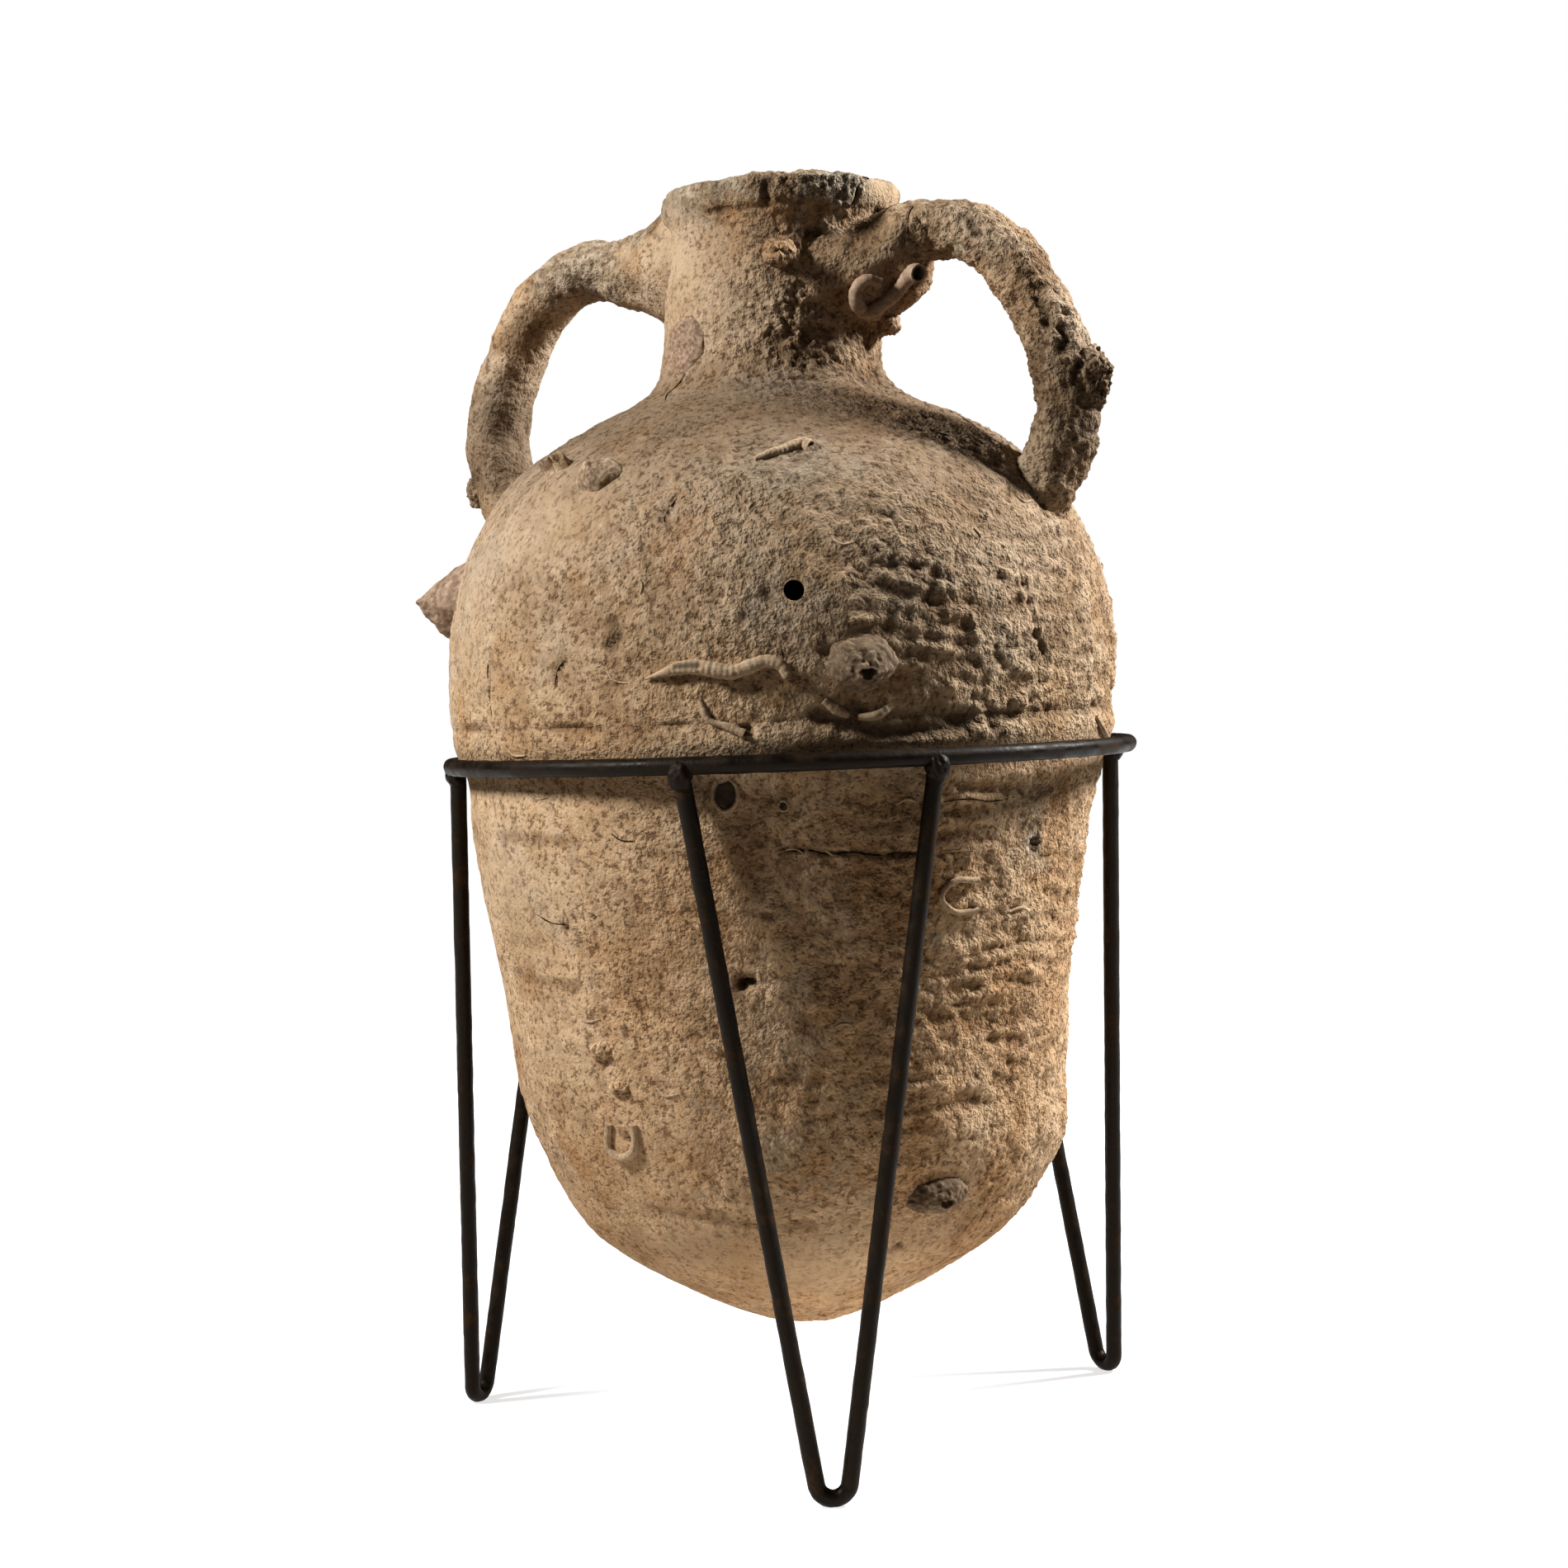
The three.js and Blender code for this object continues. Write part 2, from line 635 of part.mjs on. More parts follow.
/** How much thicker a handle is along its way, widened towards its joint on the neck. */
function handleSwells({ jointHeight }) {
  const added = jointHeight / handleThickness - 1;
  return handleSwellShares.map((share, i) => share + added * (jointSwellShares[i] ?? 0));
}

function handleSolid(handle, growth = 0) {
  const section = ellipse(handleThickness / 2 + growth, handleWidth / 2 + growth, handleSides);
  return solidOf(swept(handlePath(handle), section, handleSteps, handleSwells(handle)));
}

/** Place on a handle's skin: a share of the way along, turned from its outer side to its flank. */
function skinAt(handle, share, turn, lift = 0) {
  const path = handlePath(handle);
  const along = path.getTangentAt(share);
  const flank = towards(handle.bearing - 90);
  const outer = flank.clone().cross(along).normalize();
  const swell = ramp(handleSwells(handle), share) / 2;
  const position = path.getPointAt(share)
    .addScaledVector(outer, Math.cos(radians(turn)) * (swell * handleThickness + lift))
    .addScaledVector(flank, Math.sin(radians(turn)) * (swell * handleWidth + lift));
  const outward = outer.multiplyScalar(Math.cos(radians(turn)))
    .addScaledVector(flank, Math.sin(radians(turn)));
  const upward = along.negate();
  return { position, outward, upward, across: upward.clone().cross(outward) };
}

// Sea growth. Each piece is shaped on a level bed with +Z outwards, then stood on its place.

/** Stands a shaped piece on a place of the jar. */
function standOn({ position, across, upward, outward }, geometry) {
  const turn = new THREE.Matrix4().makeBasis(across, upward, outward).setPosition(position);
  return solidOf(geometry.applyMatrix4(turn));
}

/** Rounded lump, set half into its bed. */
function mound({ width, tall, rise }) {
  return new THREE.SphereGeometry(1, lumpFacets, lumpRings)
    .rotateX(Math.PI / 2)
    .scale(width / 2, tall / 2, rise);
}

/** Round shell that runs into its bed, with its peak moved up the wall by its drift. */
function roundShell({ kind, width, tall = width, rise, drift = 0 }) {
  const foot = [[0, -overrun / rise], [1, -overrun / rise]];
  const profile = [...foot, ...shellShares[kind]].map(([out, up]) => point(out, up));
  const slant = new THREE.Matrix4().makeShear(0, 0, 0, 0, 0, drift / rise);
  return turned(profile, shellFacets).scale(width / 2, tall / 2, rise).applyMatrix4(slant);
}

function shapeSolid(piece, place) {
  const shape = piece.kind === 'mound' ? mound(piece) : roundShell(piece);
  return standOn(place, shape);
}

/** Height above the jar's tip of a piece of growth. */
function heightOf({ section, share, fromRing }) {
  if (section === 'lower') return share * waistHeight;
  if (section === 'upper') return waistHeight + share * upperHeight;
  if (section === 'neck') return neckFootHeight + share * neckHeight;
  return seatHeight + fromRing;
}

/** Growth on the wall. One with a spread has two cells side by side. */
function wallPiece(piece) {
  const { bearing, spread = 0 } = piece;
  const height = heightOf(piece);
  const turn = THREE.MathUtils.radToDeg(spread / 2 / wallAt(bearing, height).radius);
  const first = shapeSolid(piece, wallAt(bearing - turn, height));
  return spread ? first.add(shapeSolid(piece, wallAt(bearing + turn, height))) : first;
}

function tubeSolid(points, diameter) {
  const section = ellipse(diameter / 2, diameter / 2, tubeSides);
  const steps = points.length * stepsPerPoint;
  return solidOf(swept(new THREE.CatmullRomCurve3(points), section, steps, tubeTaperShares));
}

/** Worm tube that lies along the wall, from shares of its span across and up. */
function wallTube({ bearing, span, diameter, pathShares, ...where }) {
  const height = heightOf(where);
  const { radius, upward } = wallAt(bearing, height);
  return tubeSolid(pathShares.map(([across, up]) => {
    const turn = THREE.MathUtils.radToDeg((across * span) / radius);
    return wallAt(bearing + turn, height + up * span * upward.z, diameter * tubeLiftShare).position;
  }), diameter);
}

function handleTube({ on, diameter, places }) {
  const lift = diameter * tubeLiftShare;
  const points = places.map(([share, turn]) => skinAt(handles[on], share, turn, lift).position);
  return tubeSolid(points, diameter);
}

/** Stands the jar in the ring: narrowed across, and against the ring's -X side. */
const inRing = new THREE.Matrix4()
  .makeTranslation(-sideShift, 0, ringHeight - seatHeight)
  .multiply(new THREE.Matrix4().makeScale(acrossShare, 1, 1));

function addMesh(group, name, geometry, finish) {
  const mesh = new THREE.Mesh(geometry, new THREE.MeshStandardMaterial(finish));
  mesh.name = name;
  group.add(mesh);
}

function buildStand(settledJar) {
  const stand = new THREE.Group();
  addMesh(stand, 'stand_ring', geometryOf(ringSolid()), iron);
  for (const hairpin of hairpins) {
    addMesh(stand, `stand_leg_${hairpin.side}`, geometryOf(legSolid(hairpin)), iron);
    for (const [end, turn] of [['a', -1], ['b', 1]]) {
      const bead = weldSolid(hairpin, turn, settledJar);
      addMesh(stand, `stand_weld_${hairpin.side}_${end}`, geometryOf(bead), iron);
    }
  }
  return stand;
}

function buildJar(core) {
  const jar = new THREE.Group();
  const add = (name, geometry, finish) => addMesh(jar, name, geometry.applyMatrix4(inRing), finish);
  add('jar_lower_body', lowerBody(), clay);
  add('jar_upper_body', upperBody(), clay);
  add('jar_neck', neck(), clay);
  const beds = {};
  for (const [side, handle] of Object.entries(handles)) {
    beds[side] = core.add(handleSolid(handle, clearance));
    add(`jar_handle_${side}`, geometryOf(handleSolid(handle).subtract(core)), clay);
  }
  const grow = ({ name }, solid, bed, finish) => add(name, geometryOf(solid.subtract(bed)), finish);
  for (const piece of wallGrowth) grow(piece, wallPiece(piece), core, crust);
  for (const piece of tubeGrowth) grow(piece, wallTube(piece), core, shellGrowth);
  for (const piece of handleGrowth) {
    const { on, share, turn } = piece;
    grow(piece, shapeSolid(piece, skinAt(handles[on], share, turn)), beds[on], crust);
  }
  grow(handleWorm, handleTube(handleWorm), beds[handleWorm.on], shellGrowth);
  return jar;
}

const core = jarCore();
const settledJar = solidOf(geometryOf(core).applyMatrix4(inRing));
const amphora = new THREE.Group();
amphora.add(buildStand(settledJar), buildJar(core));

// The origin is the middle of the whole object's box, on the floor.
const middle = new THREE.Box3().setFromObject(amphora).getCenter(new THREE.Vector3());
amphora.position.set(-middle.x, -middle.y, 0);

export default amphora;
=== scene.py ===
"""A sea-worn transport amphora in its stand of welded iron rod. Metres, +Z up, -Y is the front."""

import math
from contextlib import contextmanager
from itertools import product

import bpy
import numpy as np
from mathutils import Matrix, Vector


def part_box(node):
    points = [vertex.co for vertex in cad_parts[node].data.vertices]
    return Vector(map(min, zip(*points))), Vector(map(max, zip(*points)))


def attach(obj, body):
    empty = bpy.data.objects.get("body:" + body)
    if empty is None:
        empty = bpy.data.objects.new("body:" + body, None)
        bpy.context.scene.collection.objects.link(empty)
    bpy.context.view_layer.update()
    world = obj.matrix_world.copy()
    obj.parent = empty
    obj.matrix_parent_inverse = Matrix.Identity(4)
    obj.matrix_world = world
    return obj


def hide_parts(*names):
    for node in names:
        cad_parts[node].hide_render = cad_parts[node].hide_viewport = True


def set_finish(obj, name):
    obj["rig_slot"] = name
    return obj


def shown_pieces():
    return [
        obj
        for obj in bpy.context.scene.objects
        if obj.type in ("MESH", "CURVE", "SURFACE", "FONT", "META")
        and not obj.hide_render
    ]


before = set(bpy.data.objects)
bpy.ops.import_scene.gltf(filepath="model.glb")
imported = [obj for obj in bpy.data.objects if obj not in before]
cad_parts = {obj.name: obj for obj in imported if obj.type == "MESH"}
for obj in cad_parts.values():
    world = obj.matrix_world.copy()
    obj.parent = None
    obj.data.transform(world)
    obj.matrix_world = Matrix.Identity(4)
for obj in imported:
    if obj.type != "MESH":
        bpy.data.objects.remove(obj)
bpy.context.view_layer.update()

MM = 0.001
MERGE_DISTANCE = 0.01 * MM
SHARP_ANGLE = 62
CORNERS = list(product((0, 1), repeat=3))
NEIGHBOURS = list(product((-1, 0, 1), repeat=3))

# Photograph: the camera that the outline of the jar and the legs was matched with
PICTURE = 1900
SENSOR = 36.0
LENS = 68.68
CAMERA_PLACE = Vector((0.00537, -1.42021, 0.35543))
CAMERA_YAW = 0.0023
CAMERA_PITCH = 0.03305
CAMERA_ROLL = -0.03601
JAR_PIXEL = (955, 850)  # the middle of the jar

# Stand
RING_RADIUS = 160 * MM
ROD_RADIUS = 4 * MM
HAIRPIN_SPAN = 108.8 * MM
FOOT_BEND_RADIUS = 7.4 * MM
FOOT_FLAT = 0.5 * MM
RUST_DEPTH = 0.16 * MM
FOOT_REACHES = {"front": 140.5 * MM, "left": 185 * MM, "right": 178.3 * MM}
LEG_BEARINGS = {"front": 3, "left": -114.5, "right": 122.5}
WELD_RADIUS = 6.4 * MM

# Jar: heights over its tip and radii from its axis
BELOW_SEAT = (151.3 * MM, 263 * MM)
ABOVE_SEAT = (157.1 * MM, 279 * MM)
WAIST_HEIGHT = 288.5 * MM
BELLY_RADIUS = 158.7 * MM
NECK_FOOT_HEIGHT = 442.5 * MM
NECK_FOOT_RADIUS = 58.6 * MM
NECK_RADIUS = 51.5 * MM
NECK_LEAN = 0.06
SEAT_HEIGHT = 271 * MM
SEAT_ANGLE = 20
SIDE_SHIFT = 2.4 * MM
CLEARANCE = 0.3 * MM
BEND_REACH = 3.4 * MM
SEAT_MARGIN = 22 * MM
THROAT_RADIUS = 43 * MM
NECK_BORE_RADIUS = 39.5 * MM
MOUTH_RADIUS = 37 * MM
RIM_RADIUS = 56.6 * MM
RIM_HEIGHT = 20 * MM
RIM_FLAT_INNER = 40 * MM
RIM_FLAT_OUTER = 46 * MM
JAR_HEIGHT = 540 * MM
WALL = 9 * MM
BASE = 24 * MM
DRILLED_HOLE = {"bearing": 2.3, "height": 343.8 * MM, "radius": 4.5 * MM}

LOWER_SHARES = [
    (0, 0), (0.13, 0.014), (0.4, 0.083), (0.65, 0.178), (0.737, 0.242),
    (0.833, 0.36), (0.868, 0.47), (0.892, 0.62), (0.95, 0.82), (1, 1),
]
UPPER_SHARES = [
    (1, 0.14), (0.996, 0.235), (0.974, 0.35), (0.931, 0.453), (0.862, 0.556),
    (0.714, 0.71), (0.538, 0.807), (0.267, 0.91), (0.097, 0.96),
]
NECK_FOOT_SHARES = [(1, 0), (0.35, 0.07), (0.04, 0.22), (0, 0.3), (0, 0.55)]
LIP_SHARES = [(0.03, -0.35), (0.25, -0.08), (0.72, 0.14), (0.98, 0.40), (0.95, 0.66), (0.50, 0.90)]

TO_SEAT_SHARES = [
    (0, 0.3), (0.33, 0.4), (0.43, -0.5), (0.55, -0.76),
    (0.73, -1), (0.88, -0.88), (0.93, -0.5), (1, -0.2),
]
TO_RIM_SHARES = [
    (0, -0.3), (0.08, -0.28), (0.17, 0.15), (0.4, 0.15), (0.64, 0), (0.83, 0), (0.94, 0.44), (1, 0.7),
]
CRUST_PATCHES = [  # bearing, section, share of its height, size and rise in millimetres
    (24, "upper", 0.6, 90, 2), (62, "upper", 0.84, 80, 2), (58, "upper", 0.3, 95, 2.2),
    (8, "upper", 0.24, 70, 1.6), (-30, "upper", 0.52, 75, 1.2), (128, "upper", 0.55, 95, 2),
    (178, "upper", 0.42, 90, 1.8), (-148, "upper", 0.66, 85, 1.6), (84, "lower", 0.3, 80, 2.6),
    (56, "lower", 0.58, 100, 2.4), (4, "lower", 0.54, 80, 1.8), (28, "lower", 0.42, 70, 1.6),
    (-58, "lower", 0.5, 80, 1.4), (122, "lower", 0.6, 100, 2.2), (165, "lower", 0.36, 90, 1.8),
    (-150, "lower", 0.64, 95, 2), (-105, "lower", 0.4, 80, 1.4),
]

# Handles
HANDLE_THICKNESS = 27.5 * MM
HANDLE_WIDTH = 33 * MM
HANDLE_FOOT_HEIGHT = 378.4 * MM
HANDLE_JOINT_REACH = 40 * MM
HANDLE_WEB_REACH = 62 * MM
HANDLES = {
    "left": {
        "bearing": -115, "reach": 153 * MM, "rise": 129.5 * MM, "joint": 125.5 * MM, "tall": 45 * MM,
        "flare": 0.36,
    },
    "right": {
        "bearing": 65, "reach": 150 * MM, "rise": 132.5 * MM, "joint": 115 * MM, "tall": 59 * MM,
        "flare": 0.08,
    },
}
HANDLE_SHARES = [
    (0.5, 0.985), (0.61, 1), (0.72, 0.965), (0.825, 0.865), (0.92, 0.68),
    (0.97, 0.53), (0.99, 0.37), (0.96, 0.2), (0.88, 0.05), (0.8, -0.05),
]
WEB_RISE_SHARE = 0.33
HANDLE_SWELLS = [1, 1, 1, 1, 1, 1.04, 1.08, 1.06, 1.1, 1.16, 1.2]
JOINT_SWELLS = [1, 0.55, 0.02]
HANDLE_FOOT_SWELL = 0.20
FLARE_LENGTH = 9 * MM
FLARE_WIDE = 0.3

# Steps of the dense meshes: along the outer outline, along the inner one and round the axis
LOWER_STEPS = (184, 24, 420)
UPPER_STEPS = (126, 18, 560)
NECK_STEPS = (124, 50, 340)
HANDLE_STEPS = (250, 84)
GROWTH_STEPS = (84, 72)
HOOP_STEPS = 360
ROD_SIDES = 24
WORM_SIDES = 20
DRILL_SIDES = 40
WELD_DETAIL = 5

ring_low, ring_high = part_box("stand_ring")
STAND_AXIS = (ring_low + ring_high) / 2
RING_HEIGHT = STAND_AXIS.z
JAR_AXIS = STAND_AXIS - Vector((SIDE_SHIFT, 0, 0))
TIP_HEIGHT = RING_HEIGHT - SEAT_HEIGHT
RING_BORE = RING_RADIUS - (ROD_RADIUS + CLEARANCE) / math.cos(math.radians(SEAT_ANGLE))
ACROSS = math.sqrt((RING_BORE - SIDE_SHIFT) / RING_BORE)


# Small tools


def alone(piece):
    """Selects one piece and nothing else."""
    bpy.ops.object.select_all(action="DESELECT")
    piece.select_set(True)
    bpy.context.view_layer.objects.active = piece
    return piece


def named(name):
    """Names what was just added."""
    piece = bpy.context.view_layer.objects.active
    piece.name = name
    piece.data.name = name
    return piece


def added(name, add, **options):
    """Adds one of Blender's own shapes and names it."""
    bpy.ops.object.select_all(action="DESELECT")
    add(**options)
    return named(name)


def settle(piece):
    """Puts a piece's place, turn and size into its mesh."""
    alone(piece)
    bpy.ops.object.transform_apply(location=True, rotation=True, scale=True)
    return piece


@contextmanager
def editing(piece):
    """Edit mode on one piece, with all of it selected."""
    alone(piece)
    bpy.ops.object.mode_set(mode="EDIT")
    bpy.ops.mesh.select_all(action="SELECT")
    yield
    bpy.ops.object.mode_set(mode="OBJECT")


def close_seams(piece):
    """Merges doubled points, turns the faces outwards and smooths all but sharp edges."""
    with editing(piece):
        bpy.ops.mesh.remove_doubles(threshold=MERGE_DISTANCE)
        bpy.ops.mesh.normals_make_consistent(inside=False)
    bpy.ops.object.shade_smooth_by_angle(angle=math.radians(SHARP_ANGLE))
    return piece


def towards(bearing):
    """Level direction towards a bearing in degrees, 0 at the front and growing towards +X."""
    turn = math.radians(bearing)
    return Vector((math.sin(turn), -math.cos(turn), 0))


def points_of(piece):
    places = np.empty(len(piece.data.vertices) * 3)
    piece.data.vertices.foreach_get("co", places)
    return places.reshape(-1, 3)


def normals_of(piece):
    normals = np.empty(len(piece.data.vertices) * 3)
    piece.data.vertex_normals.foreach_get("vector", normals)
    return normals.reshape(-1, 3)


def move_points(piece, places):
    piece.data.vertices.foreach_set("co", places.ravel())
    piece.data.update()


def paint(piece, name, values):
    """Keeps a share for each point, which the finishes read."""
    layer = piece.data.attributes.get(name) or piece.data.attributes.new(name, "FLOAT", "POINT")
    layer.data.foreach_set("value", np.clip(values, 0, 1).astype(np.float32))


def ease(low, high, values):
    """0 below low, 1 above high, and smooth between them."""
    share = np.clip((values - low) / (high - low), 0, 1)
    return share * share * (3 - 2 * share)


HASH_STEPS = (73856093, 19349663, 83492791)
SLOPES = np.random.default_rng(7).normal(size=(256, 3))
SLOPES /= np.linalg.norm(SLOPES, axis=1)[:, None]


def mixed(corners):
    """Number from 0 to 255 for each corner of a grid, always the same for the same corner."""
    number = sum(corners[:, axis] * HASH_STEPS[axis] for axis in range(3))
    number = (number ^ (number >> 13)) * 1274126177
    return ((number ^ (number >> 16)) & 255).astype(np.int64)


def waves(places):
    """Smooth noise about zero, with one wave to a unit."""
    corners = np.floor(places).astype(np.int64)
    local = places - corners
    fade = local**3 * (local * (local * 6 - 15) + 10)
    total = np.zeros(len(places))
    for corner in CORNERS:
        weight = np.prod(np.where(corner, fade, 1 - fade), axis=1)
        total += weight * np.einsum("ij,ij->i", SLOPES[mixed(corners + corner)], local - corner)
    return total * 1.6


def clouds(places, size, layers=3, shift=0.0):
    """Soft noise about zero, with lumps of about that size."""
    total = 0
    for layer in range(layers):
        total = total + waves(places / size * 2**layer + shift * 7.31 + layer * 11.7) / 2**layer
    return total


def pimples(places, size, shift=0.0):
    """Round grains of about that size: 1 in their middle, 0 between them."""
    moved = places / size + shift * 5.17
    corners = np.floor(moved).astype(np.int64)
    nearest = np.full(len(places), 9.0)
    for step in NEIGHBOURS:
        cell = corners + step
        middle = cell + 0.5 + SLOPES[mixed(cell)] * 0.45
        nearest = np.minimum(nearest, np.einsum("ij,ij->i", moved - middle, moved - middle))
    return np.clip(1 - nearest / 0.3, 0, 1)


def curve_through(points, steps):
    """Smooth line through points, cut into equal steps."""
    knots = [Vector(point) for point in points]
    knots = [2 * knots[0] - knots[1], *knots, 2 * knots[-1] - knots[-2]]
    line = []
    for before, start, end, after in zip(knots, knots[1:], knots[2:], knots[3:]):
        first = (start - before).length ** 0.5
        middle = (end - start).length ** 0.5
        last = (after - end).length ** 0.5
        leave = (start - before) / first - (end - before) / (first + middle) + (end - start) / middle
        arrive = (end - start) / middle - (after - start) / (middle + last) + (after - end) / last
        for share in np.linspace(0, 1, 24, endpoint=False):
            line.append(
                start * (2 * share**3 - 3 * share**2 + 1)
                + leave * middle * (share**3 - 2 * share**2 + share)
                + end * (3 * share**2 - 2 * share**3)
                + arrive * middle * (share**3 - share**2)
            )
    line.append(knots[-2])
    line = np.array([tuple(point) for point in line])
    along = np.concatenate([[0], np.cumsum(np.linalg.norm(np.diff(line, axis=0), axis=1))])
    even = np.linspace(0, along[-1], steps + 1)
    return np.stack([np.interp(even, along, line[:, axis]) for axis in range(line.shape[1])], axis=1)


def rod(name, path, radii, sides):
    """Round rod or tube along a path, closed at both ends."""
    line = bpy.data.curves.new(name, "CURVE")
    line.dimensions = "3D"
    spline = line.splines.new("POLY")
    spline.points.add(len(path) - 1)
    for knot, place, radius in zip(spline.points, path, radii):
        knot.co = (*place, 1)
        knot.radius = radius
    line.bevel_depth = 1
    line.bevel_resolution = max(sides // 2 - 2, 0)
    line.use_fill_caps = True
    piece = bpy.data.objects.new(name, line)
    bpy.context.scene.collection.objects.link(piece)
    alone(piece)
    bpy.ops.object.convert(target="MESH")
    return close_seams(named(name))


# Outline of the jar's wall


def lerp(low, high, share):
    return low + (high - low) * share


def lower_outline(steps):
    shaped = [(radius * BELOW_SEAT[0], height * BELOW_SEAT[1], 0) for radius, height in LOWER_SHARES]
    return curve_through([*shaped, (*ABOVE_SEAT, 0), (ABOVE_SEAT[0], WAIST_HEIGHT, 0)], steps)[:, :2]


def upper_outline(steps):
    shaped = [
        (lerp(NECK_FOOT_RADIUS, BELLY_RADIUS, radius), lerp(WAIST_HEIGHT, NECK_FOOT_HEIGHT, height), 0)
        for radius, height in UPPER_SHARES
    ]
    return curve_through([
        (ABOVE_SEAT[0], WAIST_HEIGHT, 0), *shaped, (NECK_FOOT_RADIUS, NECK_FOOT_HEIGHT, 0),
    ], steps)[:, :2]


def neck_outline(steps):
    foot = [
        (lerp(NECK_RADIUS, NECK_FOOT_RADIUS, radius), lerp(NECK_FOOT_HEIGHT, JAR_HEIGHT, height), 0)
        for radius, height in NECK_FOOT_SHARES
    ]
    lip = [
        (lerp(NECK_RADIUS, RIM_RADIUS, radius), JAR_HEIGHT - RIM_HEIGHT * (1 - height), 0)
        for radius, height in LIP_SHARES
    ]
    return curve_through([*foot, *lip, (RIM_FLAT_OUTER, JAR_HEIGHT, 0)], steps)[:, :2]


WALL_LINE = np.concatenate([lower_outline(200), upper_outline(120)[1:], neck_outline(80)[1:]])
WALL_RUN = np.gradient(WALL_LINE, axis=0)
WALL_RUN /= np.linalg.norm(WALL_RUN, axis=1)[:, None]


def wall_radius(heights):
    """Radius of the outer wall at heights over the tip."""
    return np.interp(heights, WALL_LINE[:, 1], WALL_LINE[:, 0])


def freedom(heights):
    """How freely the wall may leave its round shape: not at all where it bears on the ring."""
    return ease(ROD_RADIUS * 2, SEAT_MARGIN, np.abs(heights - SEAT_HEIGHT))


def bend_at(heights):
    """How far the jar's axis is bent towards +X at heights over the tip."""
    below = np.interp(heights / SEAT_HEIGHT, *np.array(TO_SEAT_SHARES).T)
    above = np.interp((heights - SEAT_HEIGHT) / (JAR_HEIGHT - SEAT_HEIGHT), *np.array(TO_RIM_SHARES).T)
    return np.where(heights < SEAT_HEIGHT, below, above) * BEND_REACH * freedom(heights)


def stand_jar_up(places):
    """From the jar's own round shape to its place in the ring: leaning, bent and narrowed."""
    moved = places.copy()
    heights = places[:, 2]
    moved[:, 0] += np.maximum(heights - NECK_FOOT_HEIGHT, 0) * NECK_LEAN + bend_at(heights)
    moved[:, 0] = moved[:, 0] * ACROSS + JAR_AXIS.x
    moved[:, 1] += JAR_AXIS.y
    moved[:, 2] += TIP_HEIGHT
    return moved


def laid_back(places):
    """From places on the standing jar back to its own round shape."""
    moved = places - np.array([JAR_AXIS.x, JAR_AXIS.y, TIP_HEIGHT])
    heights = moved[:, 2]
    moved[:, 0] /= ACROSS
    moved[:, 0] -= np.maximum(heights - NECK_FOOT_HEIGHT, 0) * NECK_LEAN + bend_at(heights)
    return moved


def on_wall(bearing, height):
    """Place on the jar's outer wall at a bearing and a height over the tip."""
    place = towards(bearing) * float(wall_radius(height))
    return Vector(stand_jar_up(np.array([[place.x, place.y, height]]))[0])


def crust_swell(places):
    """How far the thick patches of crust swell the wall at places on it."""
    swell = np.zeros(len(places))
    for bearing, section, share, size, rise in CRUST_PATCHES:
        low, high = (WAIST_HEIGHT, NECK_FOOT_HEIGHT) if section == "upper" else (0, WAIST_HEIGHT)
        height = lerp(low, high, share)
        away = np.linalg.norm(places - np.array(on_wall(bearing, height)), axis=1)
        swell = np.maximum(swell, rise * MM * (1 - ease(0, size * MM / 2, away)))
    return swell * freedom(places[:, 2] - TIP_HEIGHT)


def spun(name, outline, steps):
    """Outline of (radius, height) points, drawn point by point and spun about the jar's axis."""
    piece = added(name, bpy.ops.mesh.primitive_plane_add, size=MM)
    with editing(piece):
        bpy.ops.mesh.merge(type="CENTER")
        bpy.ops.transform.translate(value=(outline[0, 0], 0, outline[0, 1]))
        for out, up in np.diff(outline, axis=0):
            bpy.ops.mesh.extrude_region_move(TRANSFORM_OT_translate={"value": (out, 0, up)})
        bpy.ops.mesh.select_all(action="SELECT")
        bpy.ops.mesh.spin(steps=steps, angle=2 * math.pi, center=(0, 0, 0), axis=(0, 0, 1))
    return close_seams(piece)


def offset(outline, distance):
    """The same outline moved inwards."""
    run = np.gradient(outline, axis=0)
    run /= np.linalg.norm(run, axis=1)[:, None]
    return outline + np.stack([-run[:, 1], run[:, 0]], axis=1) * distance


def inner_line(outline, least_radius, low, high):
    """The wall's inner side between two heights, from the top down."""
    inner = offset(outline, WALL)
    kept = (inner[:, 0] > least_radius) & (inner[:, 1] > low) & (inner[:, 1] < high)
    return inner[kept][::-1]


def lower_wall():
    outer_steps, inner_steps, turns = LOWER_STEPS
    outer = lower_outline(outer_steps)
    inner = inner_line(lower_outline(inner_steps), WALL, BASE, WAIST_HEIGHT - WALL)
    top = [(outer[-1, 0] - WALL, WAIST_HEIGHT)]
    return spun("jar_lower_wall", np.concatenate([outer, top, inner, [(0, BASE)]]), turns)


def upper_wall():
    outer_steps, inner_steps, turns = UPPER_STEPS
    outer = upper_outline(outer_steps)
    inner = inner_line(upper_outline(inner_steps), THROAT_RADIUS, WAIST_HEIGHT + WALL, NECK_FOOT_HEIGHT)
    ends = [(outer[0, 0] - WALL, WAIST_HEIGHT), tuple(outer[0])]
    throat = [(THROAT_RADIUS, NECK_FOOT_HEIGHT)]
    return spun("jar_upper_wall", np.concatenate([outer, throat, inner, ends]), turns)


